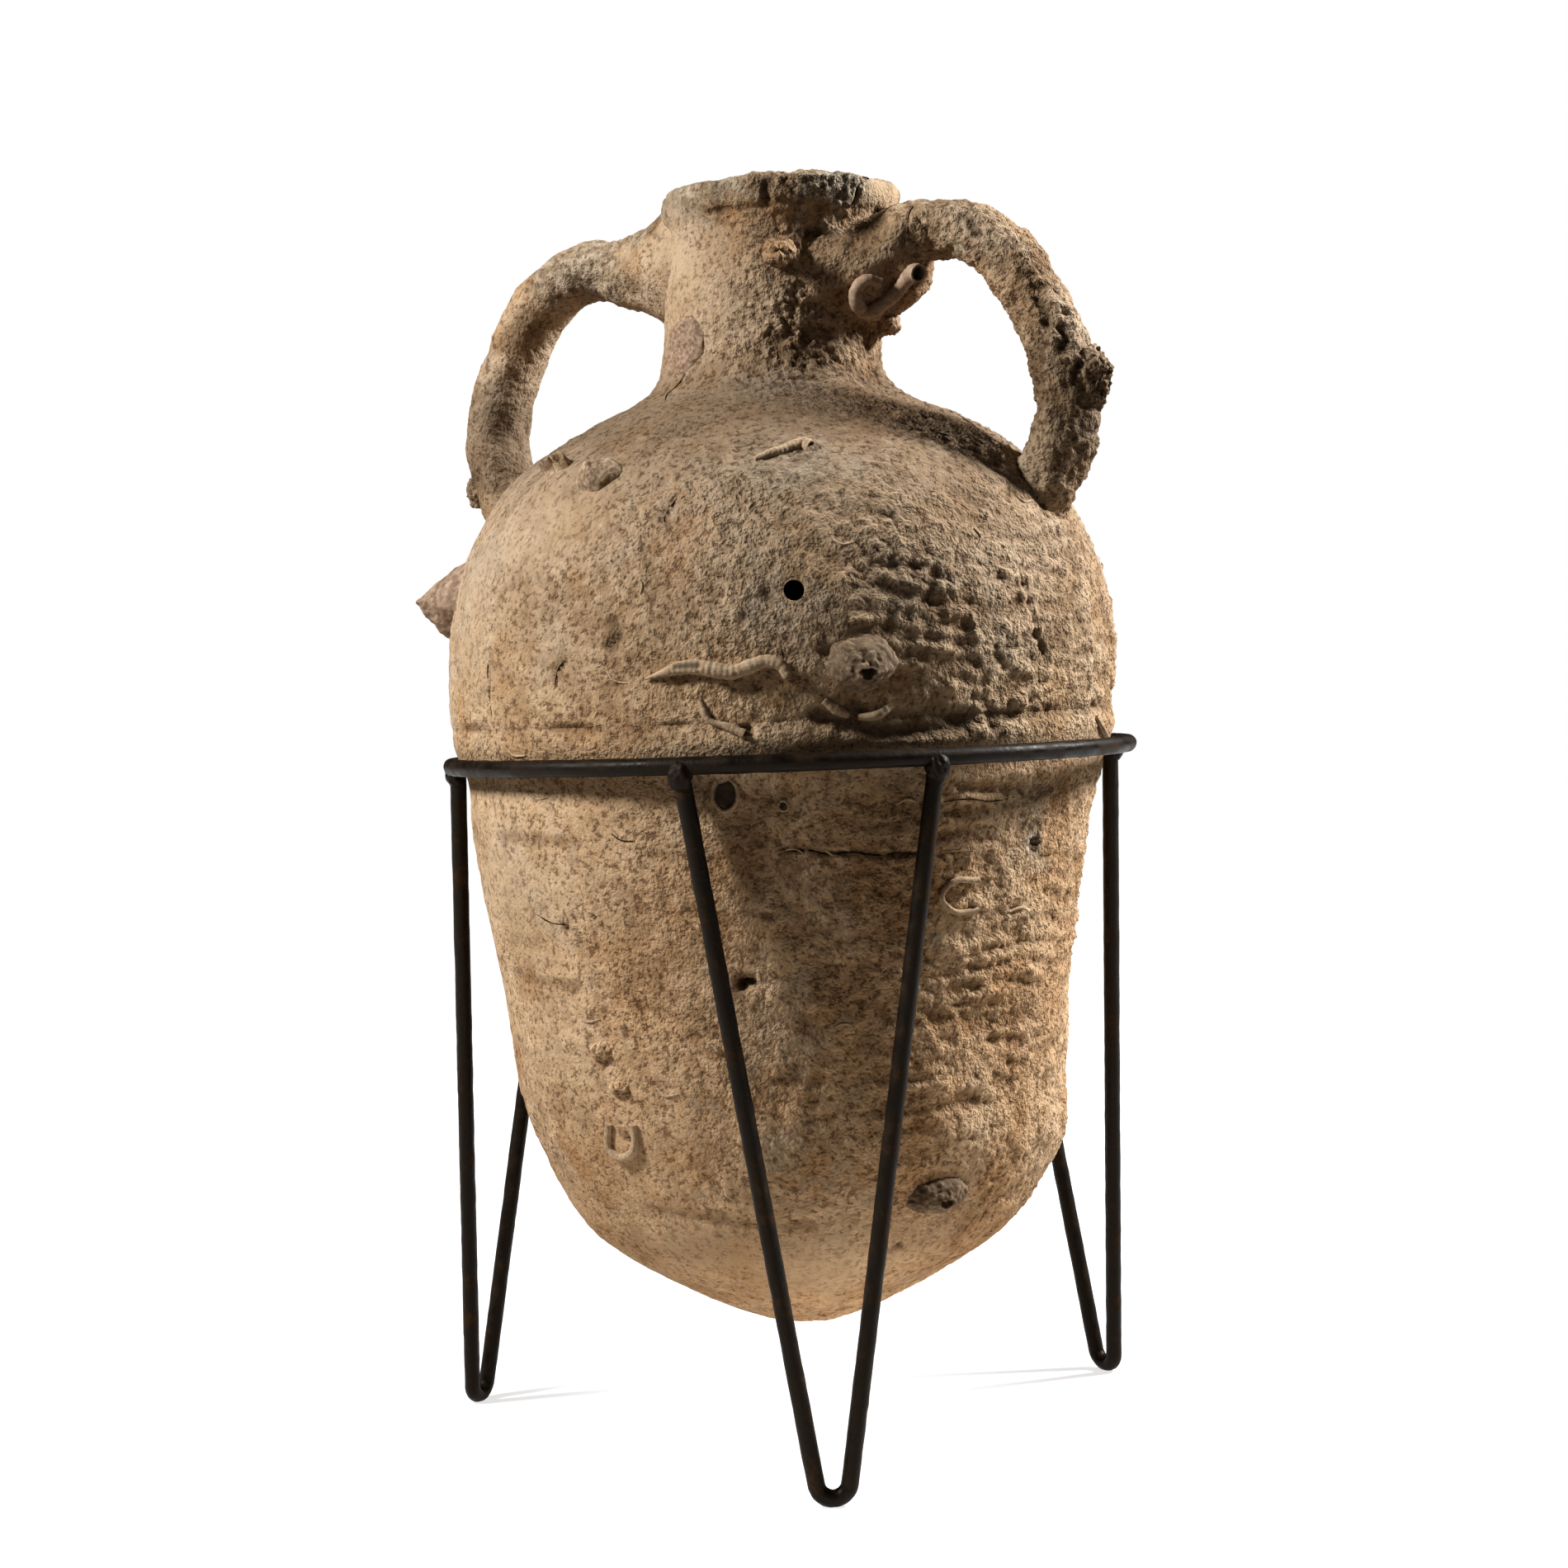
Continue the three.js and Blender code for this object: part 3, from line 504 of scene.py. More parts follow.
def neck_wall():
    outer_steps, inner_steps, turns = NECK_STEPS
    outer = neck_outline(outer_steps)
    height = JAR_HEIGHT - NECK_FOOT_HEIGHT
    bore = curve_through([
        (RIM_FLAT_OUTER, JAR_HEIGHT, 0),
        (RIM_FLAT_INNER, JAR_HEIGHT, 0),
        (MOUTH_RADIUS, NECK_FOOT_HEIGHT + 0.95 * height, 0),
        (NECK_BORE_RADIUS, NECK_FOOT_HEIGHT + 0.6 * height, 0),
        (NECK_BORE_RADIUS, NECK_FOOT_HEIGHT + 0.25 * height, 0),
        (THROAT_RADIUS, NECK_FOOT_HEIGHT, 0),
    ], inner_steps)[1:, :2]
    return spun("jar_neck_wall", np.concatenate([outer, bore, outer[:1]]), turns)


def handle_path(side, steps):
    """Middle line of a handle, out along +X from the jar's axis."""
    handle = HANDLES[side]
    web = (HANDLE_WEB_REACH, 0, lerp(handle["joint"], handle["rise"], WEB_RISE_SHARE))
    arch = [(out * handle["reach"], 0, up * handle["rise"]) for out, up in HANDLE_SHARES]
    line = curve_through([(HANDLE_JOINT_REACH, 0, handle["joint"]), web, *arch], steps)
    return line + np.array([0, 0, HANDLE_FOOT_HEIGHT])


def swell(side, shares):
    """How much thicker a handle is at shares of its way."""
    places = np.linspace(0, 1, len(HANDLE_SWELLS))
    joint = np.zeros(len(HANDLE_SWELLS))
    joint[: len(JOINT_SWELLS)] = JOINT_SWELLS
    added = HANDLES[side]["tall"] / HANDLE_THICKNESS - 1
    foot = HANDLE_FOOT_SWELL * ease(0.90, 1.0, shares)
    return np.interp(shares, places, np.array(HANDLE_SWELLS) + added * joint) + foot


def flared(places, path, flare):
    """Points of a handle that lies out along +X, spread over the neck where they meet it."""
    moved = places.copy()
    near = np.exp(-np.maximum(places[:, 0] - NECK_RADIUS, 0) / FLARE_LENGTH)
    near *= ease(0, HANDLE_THICKNESS, places[:, 2] - HANDLE_FOOT_HEIGHT - HANDLE_THICKNESS)
    middle = np.interp(places[:, 0], path[:60, 0], path[:60, 2])
    moved[:, 2] = middle + (places[:, 2] - middle) * (1 + flare * near)
    moved[:, 1] *= 1 + FLARE_WIDE * near
    fall = NECK_RADIUS - np.sqrt(np.maximum(NECK_RADIUS**2 - moved[:, 1] ** 2, 0))
    moved[:, 0] -= fall * near
    return moved


def handle_bar(side):
    """Smooth bar of a handle, stood at its bearing on the jar."""
    steps, sides = HANDLE_STEPS
    path = handle_path(side, steps)
    radii = swell(side, np.linspace(0, 1, steps + 1)) * HANDLE_THICKNESS / 2
    bar = rod(f"jar_{side}_handle", path, radii, sides)
    bar.scale = (1, HANDLE_WIDTH / HANDLE_THICKNESS, 1)
    settle(bar)
    move_points(bar, flared(points_of(bar), path, HANDLES[side]["flare"]))
    bar.rotation_euler = (0, 0, math.radians(HANDLES[side]["bearing"] - 90))
    bar.location = (JAR_AXIS.x, JAR_AXIS.y, TIP_HEIGHT)
    settle(bar)
    places = points_of(bar)
    places[:, 0] = (places[:, 0] - JAR_AXIS.x) * ACROSS + JAR_AXIS.x
    move_points(bar, places)
    return bar


# Camera


def picture_camera():
    """Camera at the photograph's viewing angle."""
    right = Vector((math.cos(CAMERA_YAW), math.sin(CAMERA_YAW), 0))
    level = Vector((-math.sin(CAMERA_YAW), math.cos(CAMERA_YAW), 0))
    forward = level * math.cos(CAMERA_PITCH) - Vector((0, 0, math.sin(CAMERA_PITCH)))
    upright = right.cross(forward)
    aside = right * math.cos(CAMERA_ROLL) + upright * math.sin(CAMERA_ROLL)
    above = upright * math.cos(CAMERA_ROLL) - right * math.sin(CAMERA_ROLL)
    turn = Matrix((aside, above, -forward)).transposed().to_4x4()
    camera = bpy.data.objects.new("picture_camera", bpy.data.cameras.new("picture_camera"))
    camera.data.sensor_width = SENSOR
    camera.data.lens = LENS
    camera.data.clip_start = 0.05
    camera.data.clip_end = 20
    camera.matrix_world = Matrix.Translation(CAMERA_PLACE) @ turn
    bpy.context.scene.collection.objects.link(camera)
    bpy.context.scene.camera = camera
    return camera


def sight(x, y):
    """Direction from the camera through a pixel of the photograph."""
    focal = LENS / SENSOR * PICTURE
    turn = bpy.context.scene.camera.matrix_world.to_3x3()
    return (turn @ Vector(((x - PICTURE / 2) / focal, (PICTURE / 2 - y) / focal, -1))).normalized()


def seen_on(walls, x, y):
    """Place and outward direction where a pixel falls on the walls, or on the nearest edge inwards."""
    for share in np.linspace(0, 0.15, 40):
        direction = sight(lerp(x, JAR_PIXEL[0], share), lerp(y, JAR_PIXEL[1], share))
        hits = [wall.ray_cast(CAMERA_PLACE, direction) for wall in walls]
        hits = [(place, normal) for struck, place, normal, _ in hits if struck]
        if hits:
            return min(hits, key=lambda hit: (hit[0] - CAMERA_PLACE).length)
    raise ValueError(f"nothing of the jar is at {x}, {y}")


picture_camera()
lower = lower_wall()
upper = upper_wall()
neck = neck_wall()
WALLS = [lower, upper, neck]
for wall in WALLS:
    move_points(wall, stand_jar_up(points_of(wall)))
bars = {side: handle_bar(side) for side in HANDLES}
CLAY_PIECES = [*WALLS, *bars.values()]


# Relief of the clay, worked as strokes that are placed by the photograph

PITS = [  # pixel of the photograph, radius and depth in millimetres
    (747, 768, 5.5, 2.2), (741, 783, 5, 2.0), (743, 755, 4, 1.4), (1255, 768, 3.2, 3),
    (1262, 780, 3.4, 3.4), (1266, 790, 2.6, 2.4), (899, 1193, 4.2, 5), (910, 1190, 3.2, 4),
    (685, 1125, 2.6, 3), (720, 1110, 1.8, 1.6), (1089, 1510, 3.2, 3.5), (1130, 730, 2.5, 1.6),
    (702, 680, 2.0, 1.2), (1213, 800, 2.4, 1.6), (1253, 1022, 4, 2.6), (1300, 745, 2, 1.4),
    (1290, 1095, 4, 2), (652, 1012, 2.2, 1.6), (760, 1378, 2.4, 3), (930, 1110, 3.5, 1.6),
    (640, 700, 1.8, 0.9), (1000, 790, 5, 1.0), (1075, 755, 5, 0.9), (930, 720, 5, 1.5),
    (1150, 700, 3, 1.4), (1110, 688, 3, 1.2), (905, 885, 3.2, 3), (1037, 860, 6, 2.4),
    (1205, 878, 4, 2.0), (1236, 905, 3, 1.6), (563, 640, 2.2, 1.2),
]
BUMPS = [
    (1135, 600, 4, 1.2), (1095, 640, 4, 1.0), (878, 730, 3, 1.4), (892, 742, 3, 1.3),
    (900, 722, 3, 1.1), (870, 640, 5, 0.9), (1215, 690, 4, 1.0), (1020, 700, 4, 1.2),
    (1180, 760, 4, 1.2), (700, 1000, 4, 0.7), (620, 1180, 5, 0.8), (1275, 1370, 9, 1.6),
    (1240, 1180, 5, 1.2), (1190, 1310, 6, 1.3), (1160, 1310, 4, 1.2), (985, 1215, 6, 1.2),
    (820, 1250, 5, 0.9), (1325, 715, 3, 1.4), (1100, 1080, 4, 1.0), (1165, 1075, 3.5, 1.0),
    (850, 1120, 4, 0.8), (925, 1400, 5, 0.9), (1032, 752, 2.5, 1.3), (1050, 752, 2.5, 1.3),
    (1068, 750, 2.5, 1.2), (1120, 695, 4, 1.5), (1155, 830, 5, 1.2), (1235, 850, 7, 1.8),
    (1310, 870, 5, 1.6), (1190, 865, 4, 1.3),
]
GROOVES = [  # width and depth in millimetres, and the pixels that it runs through
    (1.6, 1.9, [(948, 1030), (985, 1033), (1022, 1035), (1062, 1036), (1112, 1034)]),
    (5.0, 2.4, [(990, 868), (1035, 880), (1085, 887), (1130, 884), (1168, 876)]),
    (1.5, 0.9, [(596, 790), (592, 830), (594, 872)]),
    (1.3, 1.2, [(684, 800), (676, 812), (673, 830)]),
    (1.3, 1.2, [(829, 455), (820, 466), (809, 476)]),
    (1.2, 1.2, [(812, 640), (806, 628), (816, 612)]),
    (1.3, 1.1, [(1238, 700), (1250, 740), (1254, 762)]),
    (3.6, 1.7, [(922, 205), (932, 222), (928, 238)]),
    (2.8, 1.0, [(856, 257), (900, 252), (940, 246), (970, 245)]),
    # wide deep groove right of the neck knob, whose painted shade stands for the knob's cast shadow
    (7.5, 3.8, [(984, 288), (990, 300), (991, 314)]),
    (1.6, 2.2, [(1046, 199), (1053, 212), (1040, 226), (1035, 246)]),
    (4.0, 0.7, [(560, 1010), (620, 1016), (700, 1022)]),
    (3.4, 0.9, [(1150, 950), (1210, 957), (1270, 955), (1330, 946)]),
    (4.4, 0.6, [(600, 1165), (640, 1185), (700, 1196)]),
    (3.4, 0.6, [(1130, 1235), (1190, 1232), (1240, 1222)]),
    (3.4, 0.7, [(1060, 1345), (1120, 1342), (1180, 1330)]),
    (4.0, 0.7, [(790, 1466), (880, 1480), (980, 1486)]),
]
HANDLE_GROOVES = [
    (1.0, 0.9, [(1104, 250), (1100, 262), (1098, 276), (1094, 296)]),
    (1.2, 1.4, [(1109, 262), (1116, 272), (1122, 280)]),
    (3.0, 1.6, [(1180, 238), (1172, 262), (1186, 286)]),
    (3.6, 2.0, [(1258, 362), (1268, 376), (1270, 392)]),
    (3.0, 1.8, [(1286, 398), (1292, 410), (1284, 420)]),
    (2.6, 1.4, [(1238, 326), (1245, 334)]),
    (2.4, 1.4, [(1306, 440), (1300, 462)]),
]
STAINS = {  # pixel, radius in millimetres and strength
    "smooth": [
        (770, 505, 34, 1.0), (850, 485, 34, 1.0), (930, 500, 32, 0.95), (700, 570, 26, 0.8),
        (1000, 545, 24, 0.7), (1060, 520, 20, 0.8), (1120, 560, 22, 0.6), (640, 640, 34, 0.5),
        (575, 740, 22, 0.4), (1045, 300, 20, 0.8), (1065, 270, 18, 0.8), (835, 300, 20, 0.6),
        (980, 1540, 40, 0.7), (860, 1520, 30, 0.5), (600, 1000, 24, 0.5), (1072, 225, 14, 0.8),
        (840, 225, 18, 0.6), (1000, 960, 16, 0.5), (1060, 950, 16, 0.5), (912, 258, 9, 0.8),
        (950, 256, 9, 0.8), (985, 256, 9, 0.7),
    ],
    # dark crust with pale specks, chiefly on the rim; the spots across the front band that neither lamp
    # reaches and the one in a pit are painted shade
    "dark_crust_and_shade": [
        (1008, 222, 14, 1.0), (1030, 215, 10, 1.0), (985, 222, 9, 0.8), (890, 215, 12, 0.45),
        (870, 225, 14, 0.4), (925, 290, 12, 0.2), (720, 312, 24, 0.65), (665, 335, 18, 0.5),
        (840, 226, 18, 0.5), (1160, 250, 26, 0.15), (940, 730, 18, 0.4), (1010, 800, 30, 0.25),
        (1100, 760, 26, 0.25), (1120, 880, 30, 0.25), (1000, 880, 26, 0.25), (960, 1090, 26, 0.25),
        (960, 1390, 14, 0.45), (1256, 1022, 8, 0.9), (1250, 980, 12, 0.5), (950, 1250, 26, 0.35),
        (990, 560, 20, 0.3),
    ],
    "rust": [
        (705, 1418, 12, 0.8), (690, 1395, 10, 0.6), (735, 1450, 9, 0.5), (766, 320, 9, 0.5),
        (1000, 225, 12, 0.5), (830, 650, 18, 0.4), (1120, 1260, 16, 0.4), (1050, 1070, 14, 0.35),
        (1160, 1240, 20, 0.3), (884, 254, 7, 0.5), (912, 256, 7, 0.55), (942, 254, 8, 0.6),
        (972, 254, 8, 0.55), (1000, 252, 7, 0.5), (1160, 740, 12, 0.35),
    ],
    "bare": [
        (975, 258, 9, 0.4), (1004, 264, 10, 0.4), (1068, 225, 14, 1.0), (1084, 236, 12, 0.9),
        (580, 700, 24, 0.35), (575, 800, 26, 0.35), (660, 640, 30, 0.3), (850, 360, 22, 0.3),
        (980, 1540, 40, 0.6), (860, 1520, 30, 0.45), (1110, 1500, 30, 0.45), (620, 1100, 30, 0.4),
        (820, 290, 20, 0.6), (1290, 1420, 14, 0.5),
    ],
}


def strokes(table, walls):
    """The same strokes with their pixels turned into places on the walls."""
    return [
        (width * MM, depth * MM, [seen_on(walls, x, y)[0] for x, y in pixels])
        for width, depth, pixels in table
    ]


WALL_STROKES = strokes([
    *[(radius, depth, [(x, y)]) for x, y, radius, depth in PITS],
    *[(radius, -rise, [(x, y)]) for x, y, radius, rise in BUMPS],
    *GROOVES,
], WALLS)
HANDLE_STROKES = strokes(HANDLE_GROOVES, list(bars.values()))
STAIN_SPOTS = {
    name: [(seen_on(CLAY_PIECES, x, y)[0], radius * MM, strength) for x, y, radius, strength in spots]
    for name, spots in STAINS.items()
}


def away_from(places, path):
    """Distance of each point from a path of one or more places."""
    path = np.array([tuple(place) for place in path])
    away = np.linalg.norm(places - path[0], axis=1)
    for start, end in zip(path, path[1:]):
        run = end - start
        share = np.clip((places - start) @ run / (run @ run), 0, 1)
        away = np.minimum(away, np.linalg.norm(places - start - share[:, None] * run, axis=1))
    return away


def bearing_of(places):
    own = laid_back(places)
    return np.degrees(np.arctan2(own[:, 0], -own[:, 1]))


def outward_of(places):
    """Outward direction of the jar's smooth wall."""
    own = laid_back(places)
    out = np.interp(own[:, 2], WALL_LINE[:, 1], WALL_RUN[:, 1])
    rise = -np.interp(own[:, 2], WALL_LINE[:, 1], WALL_RUN[:, 0])
    level = own[:, :2]
    level /= np.maximum(np.linalg.norm(level, axis=1), 1e-6)[:, None]
    return np.column_stack([level * out[:, None], rise])


def coarse_share(places):
    """How coarse the crust is: smooth at the left and under the belly, coarse at the right."""
    side = 0.5 + 0.4 * np.cos(np.radians(bearing_of(places) - 75))
    patches = 0.5 * clouds(places, 60 * MM, 2, 3)
    bottom = ease(80 * MM, 140 * MM, places[:, 2])
    return np.clip((side + patches) * (0.3 + 0.7 * bottom), 0.05, 1)


def waist_groove(places, right):
    """How deep the joint of the two thrown halves is cut at each place, as a share."""
    waist = TIP_HEIGHT + WAIST_HEIGHT + clouds(places, 50 * MM, 3, 14) * 1.7 * MM
    away = (places[:, 2] - waist) / ((1.5 + 0.8 * right) * MM)
    deep = 0.12 + 0.55 * ease(-0.1, 0.4, clouds(places, 30 * MM, 3, 7)) + 0.45 * right
    return np.exp(-(away**2)) * deep


def clay_relief(places, lines, smooth, added):
    """How far the crust stands over the smooth wall, and the shares that the finish reads, among them
    painted shade in the waist groove, the pits and the grooves.
    """
    coarse = np.clip(coarse_share(places) + added, 0, 1) * (1 - 0.85 * smooth)
    heights = places[:, 2]
    bearing = bearing_of(places)
    spread = np.linalg.norm(laid_back(places)[:, :2], axis=1)
    flat = places * np.array([0.32, 0.32, 1])
    relief = clouds(places, 75 * MM, 2, 1) * 0.45 * MM
    relief += clouds(places, 16 * MM, 2, 2) * (0.20 + 0.45 * coarse) * MM
    relief += ease(-0.22, 0.26, clouds(places, 6.5 * MM, 3, 4)) * (0.10 + 0.70 * coarse) * MM
    scattered = ease(-0.2, 0.5, clouds(places, 22 * MM, 2, 17))
    relief += pimples(places, 5.2 * MM, 1) * scattered * (0.18 + 0.9 * coarse) * MM
    relief += pimples(places, 3.6 * MM, 5) * (0.14 + 0.70 * coarse) * MM
    relief -= (0.11 + 0.70 * coarse) * MM
    right = ease(5, 40, bearing) * (1 - ease(120, 150, bearing))
    banded = ease(335 * MM, 350 * MM, heights) * (1 - ease(420 * MM, 450 * MM, heights))
    banded += ease(130 * MM, 170 * MM, heights) * (1 - ease(300 * MM, 312 * MM, heights))
    banded *= ease(0.1 * WALL, 9 * WALL, spread)
    ragged = 0.5 - np.abs(clouds(flat, 8.5 * MM, 2, 12)) * 1.6
    relief += ragged * banded * (0.15 + 0.85 * right) * MM
    wander = clouds(places, 60 * MM, 2, 6) * 0.8
    ribs = np.sin(2 * np.pi * (heights / (8.8 * MM) + wander))
    broken = ease(-0.15, 0.35, clouds(flat, 26 * MM, 2, 13))
    relief += ribs * banded * broken * (0.12 + 0.5 * right) * MM
    groove = waist_groove(places, right)
    relief -= groove * 2.1 * MM
    # painted shade in the waist groove
    painted_shade = groove * 0.4
    edge = clouds(places, 4 * MM, 1, 15) * 0.35
    for width, depth, path in lines:
        share = 1 - ease(0.2 * width, width, away_from(places, path) + edge * width)
        relief -= share * depth
        # painted shade: deeper pits and grooves are painted darker
        if depth > 0:
            painted_shade = np.maximum(painted_shade, share * min(depth / (4.2 * MM), 0.85))
    calm = ease(5 * MM, 11 * MM, np.abs(heights - RING_HEIGHT))
    at_wall = 1 - ease(2 * WALL, 3 * WALL, np.abs(spread - RING_RADIUS))
    calm = 1 - (1 - calm) * at_wall
    relief = relief * calm - 0.25 * MM * (1 - calm)
    return relief, coarse, painted_shade


def stain_shares(places):
    """Shares of each stain, with ragged edges."""
    shares = {}
    ragged = 1 + 0.9 * clouds(places, 12 * MM, 4, 16)
    for name, spots in STAIN_SPOTS.items():
        shares[name] = np.zeros(len(places))
        for middle, radius, strength in spots:
            away = away_from(places, [middle]) * ragged
            share = strength * (1 - ease(0.35 * radius, 1.25 * radius, away))
            shares[name] = np.maximum(shares[name], share)
    return shares


ADDED_COARSE = {
    "jar_lower_wall": 0,
    "jar_upper_wall": 0,
    "jar_neck_wall": 0.1,
    "jar_left_handle": 0.2,
    "jar_right_handle": 0.35,
}
HANDLE_WAVES = {"jar_left_handle": 1.4, "jar_right_handle": 1.9}  # millimetres


def work_clay(piece, lines, is_wall):
    """Moves the smooth skin out and in to the crust's relief."""
    places = points_of(piece)
    normals = normals_of(piece)
    skin = np.ones(len(places))
    if is_wall:
        own = laid_back(places)
        heights = own[:, 2]
        skin = ease(-6 * MM, -4 * MM, np.hypot(own[:, 0], own[:, 1]) - wall_radius(heights))
        skin = np.maximum(skin, ease(JAR_HEIGHT - 45 * MM, JAR_HEIGHT - 20 * MM, heights))
    worked = skin > 0
    stains = stain_shares(places[worked])
    relief, coarse, painted_shade = clay_relief(places[worked], lines, stains["smooth"], ADDED_COARSE[piece.name])
    if is_wall:
        rim = ease(JAR_HEIGHT - 30 * MM, JAR_HEIGHT - 16 * MM, heights[worked])
        relief += clouds(places[worked], 24 * MM, 2, 19) * rim * 2.0 * MM
    else:
        relief += clouds(places[worked], 20 * MM, 2, 21) * HANDLE_WAVES[piece.name] * MM
    relief *= skin[worked] * (1 - 0.5 * stains["bare"])
    # painted shade and light: darker where the relief sinks, lighter where it stands up
    painted_recess_shade = np.clip(0.5 - relief / (2.0 * MM), 0, 1)
    shares = {"painted_recess_shade": painted_recess_shade, "coarse": coarse, "painted_shade": painted_shade, **stains}
    outward = normals[worked]
    if is_wall:
        relief = relief + crust_swell(places[worked]) * skin[worked]
        lip = ease(JAR_HEIGHT - 14 * MM, JAR_HEIGHT - 6 * MM, heights[worked])[:, None]
        outward = outward_of(places[worked]) * (1 - lip) + outward * lip
        top = ease(JAR_HEIGHT - 6 * MM, JAR_HEIGHT - 1 * MM, heights[worked])
        relief = relief * (1 - top) + (relief - 2.95 * MM) * 0.8 * top
    moved = places.copy()
    moved[worked] += outward * relief[:, None]
    move_points(piece, moved)
    for name, values in shares.items():
        whole = np.zeros(len(places))
        whole[worked] = values
        paint(piece, name, whole)


for wall in WALLS:
    work_clay(wall, WALL_STROKES, True)
for bar in bars.values():
    work_clay(bar, HANDLE_STROKES, False)
for piece, node in (
    (lower, "jar_lower_body"), (upper, "jar_upper_body"), (neck, "jar_neck"),
    (bars["left"], "jar_handle_left"), (bars["right"], "jar_handle_right"),
):
    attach(piece, "amphora")
    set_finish(piece, "clay")
    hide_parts(node)


# The drilled hole


def drill_hole(wall):
    """Cuts the drilled hole through the wall with a cylinder."""
    drill = added(
        "drill", bpy.ops.mesh.primitive_cylinder_add,
        vertices=DRILL_SIDES, radius=DRILLED_HOLE["radius"], depth=4 * WALL,
    )
    drill.rotation_mode = "QUATERNION"
    drill.rotation_quaternion = towards(DRILLED_HOLE["bearing"]).to_track_quat("Z", "Y")
    drill.location = on_wall(DRILLED_HOLE["bearing"], DRILLED_HOLE["height"])
    settle(drill)
    alone(wall)
    cut = wall.modifiers.new("drilled hole", "BOOLEAN")
    cut.operation = "DIFFERENCE"
    cut.solver = "EXACT"
    cut.object = drill
    bpy.ops.object.modifier_apply(modifier=cut.name)
    alone(drill)
    bpy.ops.object.delete()
    return wall


drill_hole(upper)


# Sea growth. Each piece lies on the worked clay where its CAD piece is.


DOME_SUNK = 1.2 * MM
SEAT_STEP = 5  # millimetres between the places round a seat, and round a point of a worm
WORM_STEP = 3


def nearest(pieces, spot):
    """Nearest place on the skin of the pieces, and the outward direction there."""
    hits = [piece.closest_point_on_mesh(spot) for piece in pieces]
    hits = [(place, normal) for found, place, normal, _ in hits if found]
    return min(hits, key=lambda hit: (hit[0] - spot).length)


def outward_near(pieces, place, steps):
    """Mean outward direction of the clay round a place."""
    return sum((nearest(pieces, place + step)[1] for step in steps), Vector()).normalized()


def seat_of(node, pieces):
    """Where a CAD piece of growth sits on the clay, with its across, up and out directions."""
    low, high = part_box(node)
    middle = (low + high) / 2
    out = outward_near(pieces, middle, [Vector(step) * SEAT_STEP * MM for step in NEIGHBOURS])
    across = Vector((0, 0, 1)).cross(out).normalized()
    return nearest(pieces, middle)[0], across, out.cross(across), out


def grow(piece, node, slot_finish):
    """Hands a finished piece of growth over in place of its CAD piece."""
    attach(piece, "amphora")
    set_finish(piece, "growth")
    if node:
        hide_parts(node)
    piece.data.materials.clear()
    piece.data.materials.append(slot_finish)
    return piece


def dome(name, pieces, size, shape, drift=0):
    """Lump or shell on the clay. Its shape gives heights from the share of the way out and a turn."""
    place, across, up, out = seat_of(name, pieces)
    width, tall, rise = (length * MM for length in size)
    segments, rings = GROWTH_STEPS
    piece = added(
        f"{name}_grown", bpy.ops.mesh.primitive_uv_sphere_add,
        segments=segments, ring_count=rings, radius=1,
    )
    places = points_of(piece)
    tilt = np.arccos(np.clip(places[:, 2], -1, 1)) / (math.pi / 2)
    share = np.minimum(tilt, 2 - tilt)
    turn = np.arctan2(places[:, 1], places[:, 0])
    heights = np.where(tilt <= 1, shape(share, turn) * rise, 0) - ease(0.8, 1, share) * DOME_SUNK
    heights = np.where(tilt <= 1, heights, -DOME_SUNK)
    shifted = np.maximum(heights, 0) / rise * drift * MM
    uneven = 1 + 0.08 * np.sin(turn * 2 + 1) + 0.05 * np.sin(turn * 5 + 2)
    beside = share * np.cos(turn) * width / 2 * uneven
    above = share * np.sin(turn) * tall / 2 * uneven
    moved = []
    for aside, climb, height, slip in zip(beside, above, heights, shifted):
        foot, _ = nearest(pieces, place + across * aside + up * climb)
        moved.append(foot + out * height + up * slip)
    move_points(piece, np.array(moved))
    paint(piece, "share", np.where(tilt <= 1, share, 1))
    return close_seams(piece)


def roughen(piece, depth, size, shift=0):
    """Grains and small dents over the whole of a piece, with painted shade in the dents."""
    places = points_of(piece)
    grains = clouds(places, size * MM, 3, shift) + 0.8 * pimples(places, size * 0.8 * MM, shift) - 0.3
    # painted shade in the dents and painted light on the grains
    paint(piece, "painted_recess_shade", 0.5 - grains * 0.5)
    paint(piece, "coarse", np.full(len(places), 0.8))
    move_points(piece, places + normals_of(piece) * (grains * depth * MM)[:, None])
    return piece


def lump_shape(share, turn):
    return np.maximum(1 - share**2.2, 0) ** 0.9 * (1 + 0.10 * np.sin(turn * 3))


def scar_shape(share, turn):
    return (1 - share**6) * (0.75 + 0.25 * np.sin(turn + 0.6)) - 0.12 * np.sin(share * 26) * share


def limpet_shape(share, turn):
    folds = 0.03 * np.sin(turn * 7 + share * 5) * share + 0.02 * np.sin(share * 13 + turn * 2)
    return (1 - share) ** 0.9 + folds * np.minimum(1, 6 * (1 - share))


def crater_shape(share, turn):
    edge = 0.21 + 0.02 * np.sin(turn * 3)
    wall = np.clip(1 - (share - edge) / (1 - edge), 0, 1) ** 0.6
    rings = 0.014 * np.sin(share * 30 + np.sin(turn * 2))
    outside = wall + rings * ease(edge, edge + 0.1, share)
    return np.where(share < edge, 0.45 + 0.5 * ease(edge - 0.12, edge, share), outside)


def floor_shape(share, turn):
    return 1 - share**4


def two_cells_shape(share, turn):
    beside = share * np.cos(turn)
    above = share * np.sin(turn)
    away = np.minimum(np.hypot(beside - 0.48, above), np.hypot(beside + 0.48, above * 0.9))
    rim = np.exp(-(((away - 0.40) / 0.10) ** 2)) * (0.85 + 0.4 * np.sin(turn * 2 + 0.4))
    return rim + 0.05


